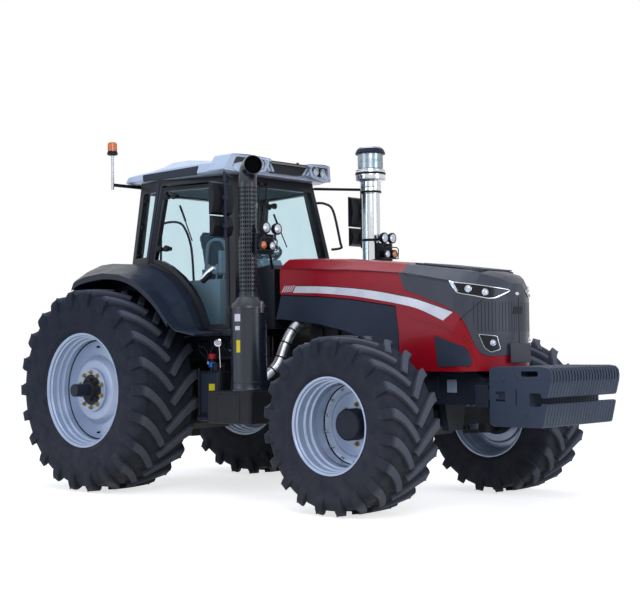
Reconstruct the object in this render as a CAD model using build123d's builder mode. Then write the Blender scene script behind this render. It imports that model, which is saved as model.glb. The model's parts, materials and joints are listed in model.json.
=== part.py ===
from build123d import *
import math
import os

# Farm tractor. Millimetres, +X forward, +Y to the driver's left, +Z up.
# The origin is on the ground, at the middle of the overall length and width.

os.makedirs("parts", exist_ok=True)

# ---- Driving dimensions ------------------------------------------------------

wheelbase = 3200.0
front_reach = 4790.0  # weights' front face, ahead of the rear axle
rear_reach = 1250.0  # lower links' ball ends, behind the rear axle
rear_axle_x = (rear_reach - front_reach) / 2
front_axle_x = rear_axle_x + wheelbase

running_gap = 0.3  # between a turning piece and its seat
panel_gap = 6.0  # between a lid or a door and its surround

# Wheels: one row per axle, every size in millimetres.
rear_wheel = dict(
    x=rear_axle_x, radius=990.0, centre_y=1100.0, width=710.0, seat_r=533.4,
    flange=26.0, rim_half=316.0, well=46.0, disc_a=100.0, boss_a=165.0,
    boss_r=290.0, hub_r=205.0, bar_count=22, bar_height=48.0,
)
front_wheel = dict(
    x=front_axle_x, radius=740.0, centre_y=1120.0, width=600.0, seat_r=381.0,
    flange=25.0, rim_half=271.0, well=46.0, disc_a=-70.0, boss_a=-90.0,
    boss_r=276.0, hub_r=200.0, bar_count=20, bar_height=42.0,
)
bead_width = 16.0  # rim flange, along the axle
disc_plate = 14.0

rear_shaft_r = 48.0
rear_shaft_end = 1507.0
rear_housing_end = 790.0
rear_hub_face = 1292.0
rear_sleeve_r = 92.0
rear_sleeve_end = 1345.0

kingpin_y = 830.0
kingpin_r = 72.0
kingpin_half = 130.0  # half the height of the axle's kingpin boss
knuckle_in = 915.0
knuckle_out = 988.0
knuckle_arm = 34.0
front_hub_r = 133.0
front_hub_end = 1160.0
steer_arm_back = 200.0  # tie-rod eye, behind the kingpin
steer_arm_y = 790.0
steer_arm_thick = 25.0
rod_r = 18.0
rod_eye_r = 30.0
cylinder_r = 42.0
cylinder_half = 300.0

SIDES = (("right", -1), ("left", 1))


def ahead(distance):
    """X of a station at a distance ahead of the rear axle."""
    return rear_axle_x + distance


def side_plane(y):
    """Plane across Y: local x runs forward from the rear axle, local y runs up."""
    return Plane(origin=(rear_axle_x, y, 0), x_dir=(1, 0, 0), z_dir=(0, -1, 0))


def cross_plane(x):
    """Plane across X at a station: local x runs to the left, local y runs up."""
    return Plane(origin=(ahead(x), 0, 0), x_dir=(0, 1, 0), z_dir=(1, 0, 0))


def plan_plane(z):
    """Plane across Z: local x runs forward from the rear axle, local y to the left."""
    return Plane(origin=(rear_axle_x, 0, z), x_dir=(1, 0, 0), z_dir=(0, 0, 1))


def wheel_plane(wheel, sign):
    """Plane through an axle: local x runs outboard from the wheel's centre, y up."""
    centre = (wheel["x"], sign * wheel["centre_y"], wheel["radius"])
    return Plane(origin=centre, x_dir=(0, sign, 0), z_dir=(sign, 0, 0))


def wheel_axis(wheel):
    """The line that a wheel turns about."""
    return Axis((wheel["x"], 0, wheel["radius"]), (0, 1, 0))


def keep(part, name):
    """Label a finished piece and write it under its name."""
    part.label = name
    export_step(part, f"parts/{name}.step")


# ---- Wheels ------------------------------------------------------------------

# A half tyre's floor between its bars, from the centre out: share of the half width, drop
# below the tip; and the bars' tops over the first rows, with their width round the tyre.
floor_rows = ((0.04, 48.0), (0.50, 48.0), (0.88, 72.0), (1.0, 185.0))
bar_rows = ((0.04, 0.0, 80.0), (0.50, 3.0, 78.0), (0.955, 20.0, 84.0))
bar_draft = 9.0  # how much further out a bar's foot stands, all round
bar_sweep = 0.84  # how far a bar falls back from its nose, as a share of the half width
flank_share = 0.985
flank_rise = 0.3  # the flank's row, as a share of the way from bead to crown


def tyre_point(wheel, sign, out, turn, radius):
    """Place on a tyre: outboard of its centre, turned forward from its top, at a radius."""
    return Vector(
        wheel["x"] + radius * math.sin(turn),
        sign * (wheel["centre_y"] + out),
        wheel["radius"] + radius * math.cos(turn),
    )


def tread_edge(wheel, sign, flank, turn, side):
    """One edge of a bar: its points along the floor, and along its top."""
    half = wheel["width"] / 2
    scale = wheel["bar_height"] / rear_wheel["bar_height"]
    edges = []
    for rows, draft in ((floor_rows, bar_draft), (bar_rows, 0.0)):
        points = []
        for number, (share, drop, *_) in enumerate(rows):
            wide = bar_rows[min(number, 2)][2] / 2 + draft
            run = bar_sweep * half * (1 - (1 - share) ** 1.5)
            angle = turn + (side * wide * scale - run) / wheel["radius"]
            radius = wheel["radius"] - drop * scale
            points.append(tyre_point(wheel, sign, flank * share * half, angle, radius))
        edges.append(points)
    return edges


def quad(first, second, third, fourth):
    """Two triangles over four corners."""
    return [(first, second, third), (first, third, fourth)]


def half_tyre(wheel, sign, flank, lead, rings):
    """Triangles of half a tyre, the first floor row of its bars, and its bore's corners."""
    count = wheel["bar_count"]
    pitch = 2 * math.pi / count
    end_turn = bar_sweep * wheel["width"] / 2 / wheel["radius"]
    loops = []
    centre_row = []
    bore_row = []
    for k in range(count):
        turn = lead + k * pitch
        low_a, top_a = tread_edge(wheel, sign, flank, turn, -1)
        low_b, top_b = tread_edge(wheel, sign, flank, turn, 1)
        low_next, _ = tread_edge(wheel, sign, flank, turn + pitch, -1)
        centre_row.append((low_a[0], low_b[0]))
        # The bar: its top, its nose and its end, then both sides.
        for i in (0, 1):
            loops += quad(top_a[i], top_b[i], top_b[i + 1], top_a[i + 1])
        loops += quad(low_a[0], low_b[0], top_b[0], top_a[0])
        loops += quad(top_a[2], top_b[2], low_b[3], low_a[3])
        for low, top in ((low_a, top_a), (low_b, top_b)):
            loops += quad(low[0], top[0], top[1], low[1])
            loops += [(low[1], top[1], top[2]), (low[1], top[2], low[2]), (low[2], top[2], low[3])]
        # The floor up to the next bar, then the flank, the bead and its seat.
        for i in (0, 1, 2):
            loops += quad(low_b[i], low_next[i], low_next[i + 1], low_b[i + 1])
        here, there = (
            [tyre_point(wheel, sign, flank * out, t - end_turn, radius) for out, radius in rings]
            for t in (turn, turn + pitch)
        )
        loops += [(low_a[3], low_b[3], here[0]), (low_b[3], there[0], here[0])]
        loops += [(low_b[3], low_next[3], there[0])]
        for i in (0, 1):
            loops += quad(here[i], there[i], there[i + 1], here[i + 1])
        bore_row.append(here[2])
    return loops, centre_row, bore_row


def tyre_solid(wheel, sign, rings):
    """A lugged tyre with flat facets; its halves are half a pitch out of step."""
    count = wheel["bar_count"]
    outer, row_a, bore_a = half_tyre(wheel, sign, 1, 0.0, rings)
    inner, row_b, bore_b = half_tyre(wheel, sign, -1, math.pi / count, rings)
    loops = outer + inner
    for k in range(count):
        (low_a, high_a), next_a = row_a[k], row_a[(k + 1) % count][0]
        (low_b, high_b), last_b = row_b[k], row_b[k - 1][1]
        loops += [(low_a, high_a, last_b), (high_a, low_b, last_b)]
        loops += [(high_a, low_b, high_b), (high_a, next_a, high_b)]
        bore_next = bore_a[(k + 1) % count]
        loops += [(bore_a[k], bore_next, bore_b[k]), (bore_b[k], bore_b[(k + 1) % count], bore_next)]
    return Solid(Shell([Face(Wire.make_polygon(loop, close=True)) for loop in loops]))


for end, wheel in (("rear", rear_wheel), ("front", front_wheel)):
    seat_r = wheel["seat_r"]
    flange_r = seat_r + wheel["flange"]
    half = wheel["width"] / 2
    rim_half = wheel["rim_half"]
    bead = rim_half - bead_width
    well_r = seat_r - wheel["well"]
    crown_r = wheel["radius"] - wheel["bar_height"]
    flat = math.cos(math.pi / wheel["bar_count"])  # a facet's middle, as a share of its corners
    # The tyre below its bars, from the flank to the bore: (from the centre, a corner's radius).
    tyre_rings = (
        (flank_share * half, flange_r + (crown_r - flange_r) * flank_rise),
        (bead, (flange_r + running_gap) / flat),
        (bead, (seat_r + running_gap) / flat),
    )
    # The rim's section, out and back along its inner face.
    rim_half_outline = [
        (bead, seat_r),
        (bead, flange_r),
        (rim_half, flange_r),
        (rim_half, flange_r - 12),
        (bead - 50, well_r),
    ]
    # The disc, with its raised boss: (from the centre, radius).
    disc_a = wheel["disc_a"]
    boss_a = wheel["boss_a"]
    boss_r = wheel["boss_r"]
    hole_r = rear_shaft_r + 45 if end == "rear" else front_hub_r + running_gap
    disc_outline = [
        (disc_a, well_r + 5),
        (disc_a, boss_r + 40),
        (boss_a, boss_r),
        (boss_a, hole_r),
        (boss_a - disc_plate, hole_r),
        (boss_a - disc_plate, boss_r - 6),
        (disc_a - disc_plate, boss_r + 34),
        (disc_a - disc_plate, well_r + 5),
    ]
    for side, sign in SIDES:
        with BuildPart() as tyre:
            add(tyre_solid(wheel, sign, tyre_rings))
        keep(tyre.part, f"{end}_tyre_{side}")

        with BuildPart() as rim:
            with BuildSketch(wheel_plane(wheel, sign)):
                with BuildLine():
                    mirrored = [(-a, r) for a, r in reversed(rim_half_outline)]
                    Polyline(*rim_half_outline, *mirrored, close=True)
                make_face()
                with BuildLine():
                    Polyline(*disc_outline, close=True)
                make_face()
            revolve(axis=wheel_axis(wheel))
        keep(rim.part, f"{end}_rim_{side}")

# Rear hubs: a bar axle with a sleeve, and the flange that the disc is nutted to.
for side, sign in SIDES:
    hub_plane = Plane(
        origin=(rear_wheel["x"], 0, rear_wheel["radius"]),
        x_dir=(0, sign, 0),
        z_dir=(sign, 0, 0),
    )
    boss_face = rear_wheel["centre_y"] + rear_wheel["boss_a"]
    with BuildPart() as rear_hub:
        with BuildSketch(hub_plane):
            with BuildLine():
                Polyline(
                    (rear_housing_end + running_gap, 0),
                    (rear_housing_end + running_gap, rear_shaft_r),
                    (boss_face - 90, rear_shaft_r),
                    (boss_face - 90, rear_sleeve_r),
                    (boss_face, rear_sleeve_r),
                    (boss_face, rear_wheel["hub_r"]),
                    (rear_hub_face, rear_wheel["hub_r"]),
                    (rear_hub_face, rear_sleeve_r),
                    (rear_sleeve_end, rear_sleeve_r - 12),
                    (rear_sleeve_end, rear_shaft_r),
                    (rear_shaft_end, rear_shaft_r),
                    (rear_shaft_end, 0),
                    close=True,
                )
            make_face()
        revolve(axis=wheel_axis(rear_wheel))
    keep(rear_hub.part, f"rear_hub_{side}")

# Front hubs: planetary carriers, with the flange that the disc is bolted to.
for side, sign in SIDES:
    hub_plane = Plane(
        origin=(front_wheel["x"], 0, front_wheel["radius"]),
        x_dir=(0, sign, 0),
        z_dir=(sign, 0, 0),
    )
    disc_back = front_wheel["centre_y"] + front_wheel["boss_a"] - disc_plate
    with BuildPart() as front_hub:
        with BuildSketch(hub_plane):
            with BuildLine():
                Polyline(
                    (knuckle_out + running_gap, 0),
                    (knuckle_out + running_gap, front_wheel["hub_r"]),
                    (disc_back, front_wheel["hub_r"]),
                    (disc_back, front_hub_r),
                    (front_hub_end - 12, front_hub_r),
                    (front_hub_end, front_hub_r - 14),
                    (front_hub_end, 0),
                    close=True,
                )
            make_face()
        revolve(axis=wheel_axis(front_wheel))
    keep(front_hub.part, f"front_hub_{side}")

# ---- Front axle, knuckles and steering -----------------------------------------

front_axle_z = front_wheel["radius"]
front_station = wheelbase
trunnion_r = 60.0
trunnion_back = 300.0
trunnion_front = 262.0
arm_z = front_axle_z - kingpin_half - running_gap - knuckle_arm  # lower arm's underside
steer_arm_z = arm_z - steer_arm_thick + 8
rod_z = steer_arm_z + steer_arm_thick + 1 + rod_eye_r * 0.8
rod_station = front_station - steer_arm_back

with BuildPart() as front_axle:
    # Beam arms, tapering out to the kingpin bosses.
    for side, sign in SIDES:
        with BuildSketch(Plane.XZ.offset(-sign * 165)):
            with Locations((front_axle_x, front_axle_z)):
                Rectangle(250, 230)
        with BuildSketch(Plane.XZ.offset(-sign * 330)):
            with Locations((front_axle_x, front_axle_z)):
                Rectangle(180, 170)
        with BuildSketch(Plane.XZ.offset(-sign * (kingpin_y - 20))):
            with Locations((front_axle_x, front_axle_z)):
                Rectangle(120, 140)
        loft(ruled=True)
        with BuildSketch(plan_plane(front_axle_z - kingpin_half)):
            with Locations((front_station, sign * kingpin_y)):
                Circle(kingpin_r)
        extrude(amount=2 * kingpin_half)
    # Centre housing.
    with BuildSketch(side_plane(170)):
        with BuildLine():
            Polyline(
                (front_station - 160, front_axle_z - 60),
                (front_station - 90, front_axle_z - 140),
                (front_station + 90, front_axle_z - 140),
                (front_station + 160, front_axle_z - 60),
                (front_station + 160, front_axle_z + 80),
                (front_station + 100, front_axle_z + 125),
                (front_station - 100, front_axle_z + 125),
                (front_station - 160, front_axle_z + 80),
                close=True,
            )
        make_face()
    extrude(amount=340)
    # Trunnions that the axle hangs on, fore and aft.
    with BuildSketch(cross_plane(front_station - trunnion_back)):
        with Locations((0, front_axle_z)):
            Circle(trunnion_r)
    extrude(amount=trunnion_back + trunnion_front)
    # Steering cylinder's barrel and its saddle on the housing.
    with BuildSketch(Plane.XZ.offset(-cylinder_half)):
        with Locations((ahead(rod_station), rod_z)):
            Circle(cylinder_r)
    extrude(amount=2 * cylinder_half)
    with BuildSketch(side_plane(60)):
        with BuildLine():
            Polyline(
                (rod_station, rod_z - 30),
                (front_station - 88, front_axle_z - 138),
                (front_station - 150, front_axle_z - 50),
                (rod_station, rod_z + 30),
                close=True,
            )
        make_face()
    extrude(amount=120)
    with BuildSketch(Plane.XZ.offset(-cylinder_half - 1)):
        with Locations((ahead(rod_station), rod_z)):
            Circle(rod_r + running_gap)
    extrude(amount=2 * cylinder_half + 2, mode=Mode.SUBTRACT)
keep(front_axle.part, "front_axle")

with BuildPart() as steering_rod:
    with BuildSketch(Plane.XZ.offset(-steer_arm_y + 10)):
        with Locations((ahead(rod_station), rod_z)):
            Circle(rod_r)
    extrude(amount=2 * steer_arm_y - 20)
    for side, sign in SIDES:
        with BuildSketch(plan_plane(rod_z - rod_eye_r * 0.8)):
            with Locations((rod_station, sign * steer_arm_y)):
                Circle(rod_eye_r)
        extrude(amount=rod_eye_r * 1.6)
keep(steering_rod.part, "steering_rod")

for side, sign in SIDES:
    with BuildPart() as knuckle:
        # Swivel housing behind the hub.
        with BuildSketch(Plane.XZ.offset(-sign * knuckle_in)):
            with Locations((front_axle_x, front_axle_z)):
                RectangleRounded(230, 2 * (kingpin_half + knuckle_arm), 40)
        extrude(amount=-sign * (knuckle_out - knuckle_in))
        # Upper and lower kingpin arms, capped above and below.
        for base in (front_axle_z + kingpin_half + running_gap, arm_z):
            with BuildSketch(plan_plane(base)):
                with Locations((front_station, sign * kingpin_y)):
                    Circle(kingpin_r + 6)
                with Locations((front_station, sign * (kingpin_y + knuckle_out) / 2)):
                    Rectangle(2 * kingpin_r, knuckle_out - kingpin_y)
            extrude(amount=knuckle_arm)
        # Steering arm, reaching back to the rod's eye.
        with BuildSketch(plan_plane(steer_arm_z)):
            with BuildLine():
                Polyline(
                    (front_station - 40, sign * (knuckle_out - 8)),
                    (front_station - 40, sign * (knuckle_in + 6)),
                    (rod_station + 30, sign * (steer_arm_y - 12)),
                    (rod_station - 30, sign * (steer_arm_y + 6)),
                    (front_station - 112, sign * (knuckle_out - 8)),
                    close=True,
                )
            make_face()
            with Locations((rod_station, sign * steer_arm_y)):
                Circle(rod_eye_r)
        extrude(amount=steer_arm_thick)
    keep(knuckle.part, f"knuckle_{side}")

# ---- Front frame and weights ---------------------------------------------------

frame_front = 3990.0
frame_top = 1160.0
frame_bottom = front_axle_z + 145
frame_half = 300.0
rail_y = 262.0
rail_thick = 40.0
carrier_front = 4152.0
carrier_half = 400.0
carrier_top = 1072.0
carrier_bottom = frame_bottom - 18
rail_rear = 1900.0

weights_rear = 4200.0
weights_front = front_reach
weights_top = 1210.0
weights_bottom = 727.0
weight_pitch = 44.6
weight_count = 24
hook_front = 4378.0
hook_bottom = 938.0
hook_top = 1030.0
hook_clearance = 1.0
hand_hold = (4580.0, 1155.0)
hand_hold_size = (160.0, 50.0)
bolt_hole = (4635.0, 950.0)
bolt_hole_size = 110.0
kerf = 4.6
kerf_depth = 22.0

with BuildPart() as front_frame:
    # Bolster over the axle, with a raked nose.
    with BuildSketch(side_plane(frame_half)):
        with BuildLine():
            Polyline(
                (2860, frame_bottom + 60),
                (3310, frame_bottom),
                (frame_front, frame_bottom),
                (frame_front, frame_top - 60),
                (3900, frame_top),
                (2860, frame_top),
                close=True,
            )
        make_face()
    extrude(amount=2 * frame_half)
    # Side rails back to the clutch housing.
    for side, sign in SIDES:
        with BuildSketch(side_plane(sign * rail_y + rail_thick / 2)):
            with BuildLine():
                Polyline(
                    (rail_rear, 930),
                    (2880, frame_bottom + 60),
                    (2880, frame_top),
                    (rail_rear, frame_top),
                    close=True,
                )
            make_face()
        extrude(amount=rail_thick)
    # Hanging brackets for the axle's trunnions.
    for station in (front_station - trunnion_back, front_station + trunnion_front - 70):
        with BuildSketch(cross_plane(station)):
            with BuildLine():
                Polyline(
                    (-170, frame_bottom + 70),
                    (-100, front_axle_z - 100),
                    (100, front_axle_z - 100),
                    (170, frame_bottom + 70),
                    close=True,
                )
            make_face()
            with Locations((0, front_axle_z)):
                Circle(trunnion_r + running_gap, mode=Mode.SUBTRACT)
        extrude(amount=70)
    # Carrier block and the bar that the weights hang on.
    with BuildSketch(side_plane(carrier_half)):
        with BuildLine():
            Polyline(
                (frame_front - 5, carrier_bottom + 20),
                (frame_front + 30, carrier_bottom),
                (carrier_front, carrier_bottom),
                (carrier_front, carrier_top),
                (frame_front - 5, carrier_top),
                close=True,
            )
        make_face()
    extrude(amount=2 * carrier_half)
    with BuildSketch(side_plane(weight_pitch * weight_count / 2)):
        with BuildLine():
            Polyline(
                (carrier_front - 5, hook_bottom + hook_clearance),
                (hook_front - hook_clearance, hook_bottom + hook_clearance),
                (hook_front - hook_clearance, hook_top),
                (carrier_front - 5, hook_top),
                close=True,
            )
        make_face()
    extrude(amount=weight_pitch * weight_count)
keep(front_frame.part, "front_frame")

with BuildPart() as front_weights:
    with BuildSketch(side_plane(weight_pitch * weight_count / 2)):
        with BuildLine():
            Polyline(
                (weights_rear, hook_top),
                (weights_rear, weights_top - 40),
                (weights_rear + 35, weights_top),
                (weights_front - 35, weights_top),
                (weights_front, weights_top - 35),
                (weights_front - 84, weights_bottom + 30),
                (weights_front - 110, weights_bottom),
                (weights_rear + 30, weights_bottom),
                (weights_rear, weights_bottom + 30),
                (weights_rear, hook_bottom),
                (hook_front, hook_bottom),
                (hook_front, hook_top),
                close=True,
            )
        make_face()
        with Locations(hand_hold):
            Rectangle(hand_hold_size[0], hand_hold_size[1], mode=Mode.SUBTRACT)
        with Locations(bolt_hole):
            Rectangle(bolt_hole_size, bolt_hole_size, mode=Mode.SUBTRACT)
    extrude(amount=weight_pitch * weight_count)
    # Kerfs between the plates, all round their edges.
    kerfs = [(k - weight_count / 2) * weight_pitch for k in range(1, weight_count)]
    with BuildSketch(*[side_plane(y + kerf / 2) for y in kerfs]):
        with BuildLine():
            Polyline(
                (weights_rear + 60, weights_top + 10),
                (weights_front + 10, weights_top + 10),
                (weights_front + 10, weights_bottom - 10),
                (weights_rear + 60, weights_bottom - 10),
                (weights_rear + 60, weights_bottom + kerf_depth),
                (weights_front - 120, weights_bottom + kerf_depth),
                (weights_front - kerf_depth, weights_top - 200),
                (weights_front - kerf_depth, weights_top - kerf_depth),
                (weights_rear + 60, weights_top - kerf_depth),
                close=True,
            )
        make_face()
    extrude(amount=kerf, mode=Mode.SUBTRACT)
keep(front_weights.part, "front_weights")

# ---- Engine, transmission and rear axle ----------------------------------------

engine_rear = 1950.0
engine_front = 3290.0
engine_half = 240.0
engine_wide_half = 300.0
engine_top = 1800.0
sump_half = rail_y - rail_thick / 2 - running_gap
gearbox_half = 230.0
gearbox_top = 1300.0

with BuildPart() as engine:
    with BuildSketch(side_plane(engine_half)):
        with BuildLine():
            Polyline(
                (engine_rear, frame_top + running_gap),
                (engine_front, frame_top + running_gap),
                (engine_front, engine_top - 100),
                (engine_front - 150, engine_top),
                (engine_rear + 60, engine_top),
                (engine_rear, engine_top - 60),
                close=True,
            )
        make_face()
    extrude(amount=2 * engine_half)
    with BuildSketch(side_plane(engine_wide_half)):
        with BuildLine():
            Polyline(
                (engine_rear + 100, frame_top + 180),
                (engine_front - 200, frame_top + 180),
                (engine_front - 200, engine_top - 160),
                (engine_rear + 100, engine_top - 160),
                close=True,
            )
        make_face()
    extrude(amount=2 * engine_wide_half)
    with BuildSketch(side_plane(sump_half)):
        with BuildLine():
            Polyline(
                (engine_rear, 780),
                (2780, 780),
                (2840, 880),
                (2840, frame_top + 10),
                (engine_rear, frame_top + 10),
                close=True,
            )
        make_face()
    extrude(amount=2 * sump_half)
keep(engine.part, "engine")

with BuildPart() as transmission:
    with BuildSketch(side_plane(gearbox_half)):
        with BuildLine():
            Polyline(
                (330, 640),
                (900, 640),
                (1100, 760),
                (engine_rear - running_gap, 760),
                (engine_rear - running_gap, frame_top),
                (1680, gearbox_top),
                (330, gearbox_top),
                close=True,
            )
        make_face()
    extrude(amount=2 * gearbox_half)
keep(transmission.part, "transmission")

rockshaft_x = -330.0
rockshaft_z = 1400.0
rockshaft_r = 45.0
link_pivot_x = -360.0
link_pivot_z = 640.0
link_pivot_y = 420.0
link_thick = 44.0
link_pin_r = 20.0

axle_z = rear_wheel["radius"]
housing_rear = -430.0
housing_front = 330.0
housing_half = 310.0
housing_foot = 560.0

with BuildPart() as rear_axle_housing:
    with BuildSketch(side_plane(housing_half)):
        with BuildLine():
            Polyline(
                (housing_rear, 640),
                (housing_rear + 60, housing_foot),
                (housing_front - 60, housing_foot),
                (housing_front, 620),
                (housing_front, gearbox_top),
                (rockshaft_x + 200, gearbox_top),
                (rockshaft_x + 70, rockshaft_z + 70),
                (rockshaft_x - 50, rockshaft_z + 70),
                (housing_rear, rockshaft_z),
                close=True,
            )
        make_face()
    extrude(amount=2 * housing_half)
    # Bore for the rockshaft, and the pins for the lower links.
    with BuildSketch(side_plane(housing_half + 1)):
        with Locations((rockshaft_x, rockshaft_z)):
            Circle(rockshaft_r + running_gap)
    extrude(amount=2 * housing_half + 2, mode=Mode.SUBTRACT)
    link_pin_half = link_pivot_y + link_thick / 2 + 6
    with BuildSketch(side_plane(link_pin_half)):
        with Locations((link_pivot_x, link_pivot_z)):
            Circle(link_pin_r)
    extrude(amount=2 * link_pin_half)
    # Axle trumpets, tapering out to the wheel bearings.
    for side, sign in SIDES:
        hub_plane = Plane(
            origin=(rear_axle_x, 0, axle_z), x_dir=(0, sign, 0), z_dir=(sign, 0, 0)
        )
        with BuildSketch(hub_plane):
            with BuildLine():
                Polyline(
                    (housing_half - 10, 0),
                    (housing_half - 10, 210),
                    (housing_half + 40, 210),
                    (housing_half + 90, 150),
                    (rear_housing_end - 50, 112),
                    (rear_housing_end - 50, 135),
                    (rear_housing_end, 135),
                    (rear_housing_end, 0),
                    close=True,
                )
            make_face()
        revolve(axis=wheel_axis(rear_wheel))
keep(rear_axle_housing.part, "rear_axle_housing")

# ---- Cab's shape -----------------------------------------------------------------

cab_bottom = 1500.0
cab_floor = 60.0
cab_top = 3060.0
cab_wall = 60.0
wheel_house_y = 700.0
wheel_house_x = 1056.0
fender_in_y = 862.0
glass_thick = 6.0
glass_inset = 22.0

# Corners of the cab in plan at its floor and its eaves: (ahead, out).
cab_low = ((-140.0, 770.0), (155.0, 845.0), (1522.0, 792.0))
cab_high = ((60.0, 690.0), (390.0, 745.0), (1272.0, 555.0))


def cab_corner(index, z):
    """Plan place of a cab corner at a height: 0 rear, 1 door pillar, 2 front."""
    share = (z - cab_bottom) / (cab_top - cab_bottom)
    low, high = cab_low[index], cab_high[index]
    return tuple(a + (b - a) * share for a, b in zip(low, high))


def cab_side_y(x, z):
    """How far out the side's skin stands at a station and a height."""
    rear, front = cab_corner(1, z), cab_corner(2, z)
    share = (x - rear[0]) / (front[0] - rear[0])
    return rear[1] + (front[1] - rear[1]) * share


def cab_volume(inset, low, high):
    """The cab's space between two heights, its walls moved in by an inset."""
    with BuildPart() as volume:
        for z in (low, high):
            rear, middle, front = (cab_corner(i, z) for i in range(3))
            half = [
                (rear[0] + inset, rear[1] - inset),
                (middle[0], middle[1] - inset),
                (front[0] - inset, front[1] - inset),
            ]
            with BuildSketch(plan_plane(z)):
                with BuildLine():
                    Polyline(*half, *[(x, -y) for x, y in reversed(half)], close=True)
                make_face()
        loft(ruled=True)
    return volume.part


def cab_layer(outer, inner):
    """A layer of the cab's walls, roof and floor between two insets."""
    with BuildPart() as layer:
        add(cab_volume(outer, cab_bottom + outer, cab_top - outer))
        floor = cab_bottom + max(inner, outer + 1)
        add(cab_volume(inner, floor, cab_top - max(inner, 1)), mode=Mode.SUBTRACT)
    return layer.part


arch_scale = (2 * rear_wheel["radius"] - cab_bottom) / 480.0  # tyre's rise above the platform


def arch_z(z):
    """A height over the rear wheel's arch, which rises as the tyre grows."""
    return cab_bottom + (z - cab_bottom) * arch_scale


# Fenders: station, then the heights of the inner edge, the crease and the outer edge, as they
# are over a tyre that rises 480 above the platform.
fender_heights = (
    (-620.0, 2190.0, 2110.0, 1990.0),
    (-430.0, 2248.0, 2168.0, 2050.0),
    (-200.0, 2256.0, 2188.0, 2108.0),
    (80.0, 2238.0, 2182.0, 2134.0),
    (340.0, 2208.0, 2146.0, 2110.0),
    (540.0, 2138.0, 2066.0, 2046.0),
    (720.0, 2014.0, 1946.0, 1942.0),
    (890.0, 1846.0, 1760.0, 1806.0),
    (1040.0, 1600.0, 1596.0, 1646.0),
    (1085.0, 1555.0, 1558.0, 1606.0),
    (1150.0, 1545.0, 1548.0, 1560.0),
    (1415.0, 1530.0, 1526.0, 1515.0),
)
fender_rows = tuple((x, *(arch_z(z) for z in heights)) for x, *heights in fender_heights)
fender_out = (fender_in_y, 1050.0, 1225.0)
fender_thick = 14.0
fender_wall = 10.0


def wheel_house_outline(lift):
    """Side view of the wheel house, grown upwards and forwards by a lift."""
    front = wheel_house_x + lift
    crown = [(x, z + lift) for x, z, *_ in fender_rows if x < wheel_house_x]
    rear, foot = fender_rows[0][0], cab_bottom
    return [*crown, (front, arch_z(1590) + lift), (front, foot), (-140, foot), (rear, arch_z(1900))]


# ---- Hood ----------------------------------------------------------------------

hood_wall = 6.0
hood_rear = 1775.0
hood_bottom = 1168.0
hood_pivot_x = 1800.0
hood_pivot_z = 2150.0

nose_tip = 4130.0

# Hood sections, rear to front: station, half width, seam height, top height.
hood_sections = (
    (1775.0, 460.0, 2143.0, 2236.0),
    (2400.0, 460.0, 2092.0, 2200.0),
    (3140.0, 460.0, 2034.0, 2130.0),
    (3850.0, 458.0, 1918.0, 2040.0),
    (3970.0, 395.0, 1900.0, 2010.0),
    (4075.0, 250.0, 1880.0, 1965.0),
    (nose_tip, 110.0, 1862.0, 1905.0),
)

# Boundary of the grey nose, in side view, from its top rear corner down.
nose_outline = (
    (3205, 2300),
    (3205, 2100),
    (3270, 1889),
    (3557, 1777),
    (3800, 1690),
    (3942, 1559),
    (4048, 1372),
    (4098, 1318),
    (4300, 1300),
    (4300, 2300),
)

# Lower edge of the hood behind the front wheels' arch, from the rear forward.
hood_lower_edge = (
    (1600, 1886),
    (1780, 1883),
    (2300, 1848),
    (2670, 1812),
    (2965, 1767),
    (3170, 1738),
    (3205, 1480),
    (3205, 1100),
    (1600, 1100),
)


def hood_section(half_width, seam, top, bottom):
    """Corners of one section of the hood: (to the left, up)."""
    half = [
        (half_width, bottom),
        (half_width, seam - 60),
        (half_width - 14, seam),
        (half_width * 0.72, seam + (top - seam) * 0.8),
        (half_width * 0.3, top),
    ]
    return half + [(-y, z) for y, z in reversed(half)]


def hood_solid(inset, bottom, stretch):
    """The hood's volume, its skin moved in by an inset, its rear face moved back."""
    with BuildPart() as volume:
        for row, (station, half_width, seam, top) in enumerate(hood_sections):
            x = station
            if row == 0:
                x = station - stretch
            if row == len(hood_sections) - 1:
                x = station - inset
            with BuildSketch(cross_plane(x)):
                with BuildLine():
                    corners = hood_section(
                        half_width - inset, seam - inset / 2, top - inset, bottom
                    )
                    Polyline(*corners, close=True)
                make_face()
        loft(ruled=True)
    return volume.part


def hood_shell():
    """The whole hood as one open shell, before it is cut into its panels."""
    with BuildPart() as shell:
        add(hood_solid(0, hood_bottom, 0))
        add(hood_solid(hood_wall, hood_bottom - 20, 20), mode=Mode.SUBTRACT)
        with BuildSketch(side_plane(600)):
            with BuildLine():
                Polyline(*hood_lower_edge, close=True)
            make_face()
        extrude(amount=1200, mode=Mode.SUBTRACT)
    return shell.part


# Outlines in side view: the headlamps, and the mesh windows low on the nose's flanks.
headlamp_outline = (
    (3753, 1938), (3790, 1925), (4060, 1868), (4112, 1846), (4098, 1815), (4040, 1778),
    (3990, 1776), (3858, 1821), (3826, 1834),
)
mesh_outline = ((3592, 1473), (3896, 1373), (3935, 1288), (3934, 1206), (3624, 1206))
lamp_stand = 4.0
mesh_depth = 3.0
grille_half = 240.0
grille_step = 40.0
grille_slot = 10.0
grille_low = 1450.0
grille_high = 1720.0


def hood_band(outline, outer, inner):
    """The part of the hood's skin inside a side view, between two insets."""
    with BuildPart() as band:
        add(hood_solid(outer, hood_bottom, 0))
        add(hood_solid(inner, hood_bottom - 20, 20), mode=Mode.SUBTRACT)
        with BuildSketch(side_plane(600)):
            with BuildLine():
                Polyline(*outline, close=True)
            make_face()
        extrude(amount=1200, mode=Mode.INTERSECT)
    return band.part


hinge_lug_y = 220.0
hinge_lug = 12.0
hinge_pin_r = 9.0

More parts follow.
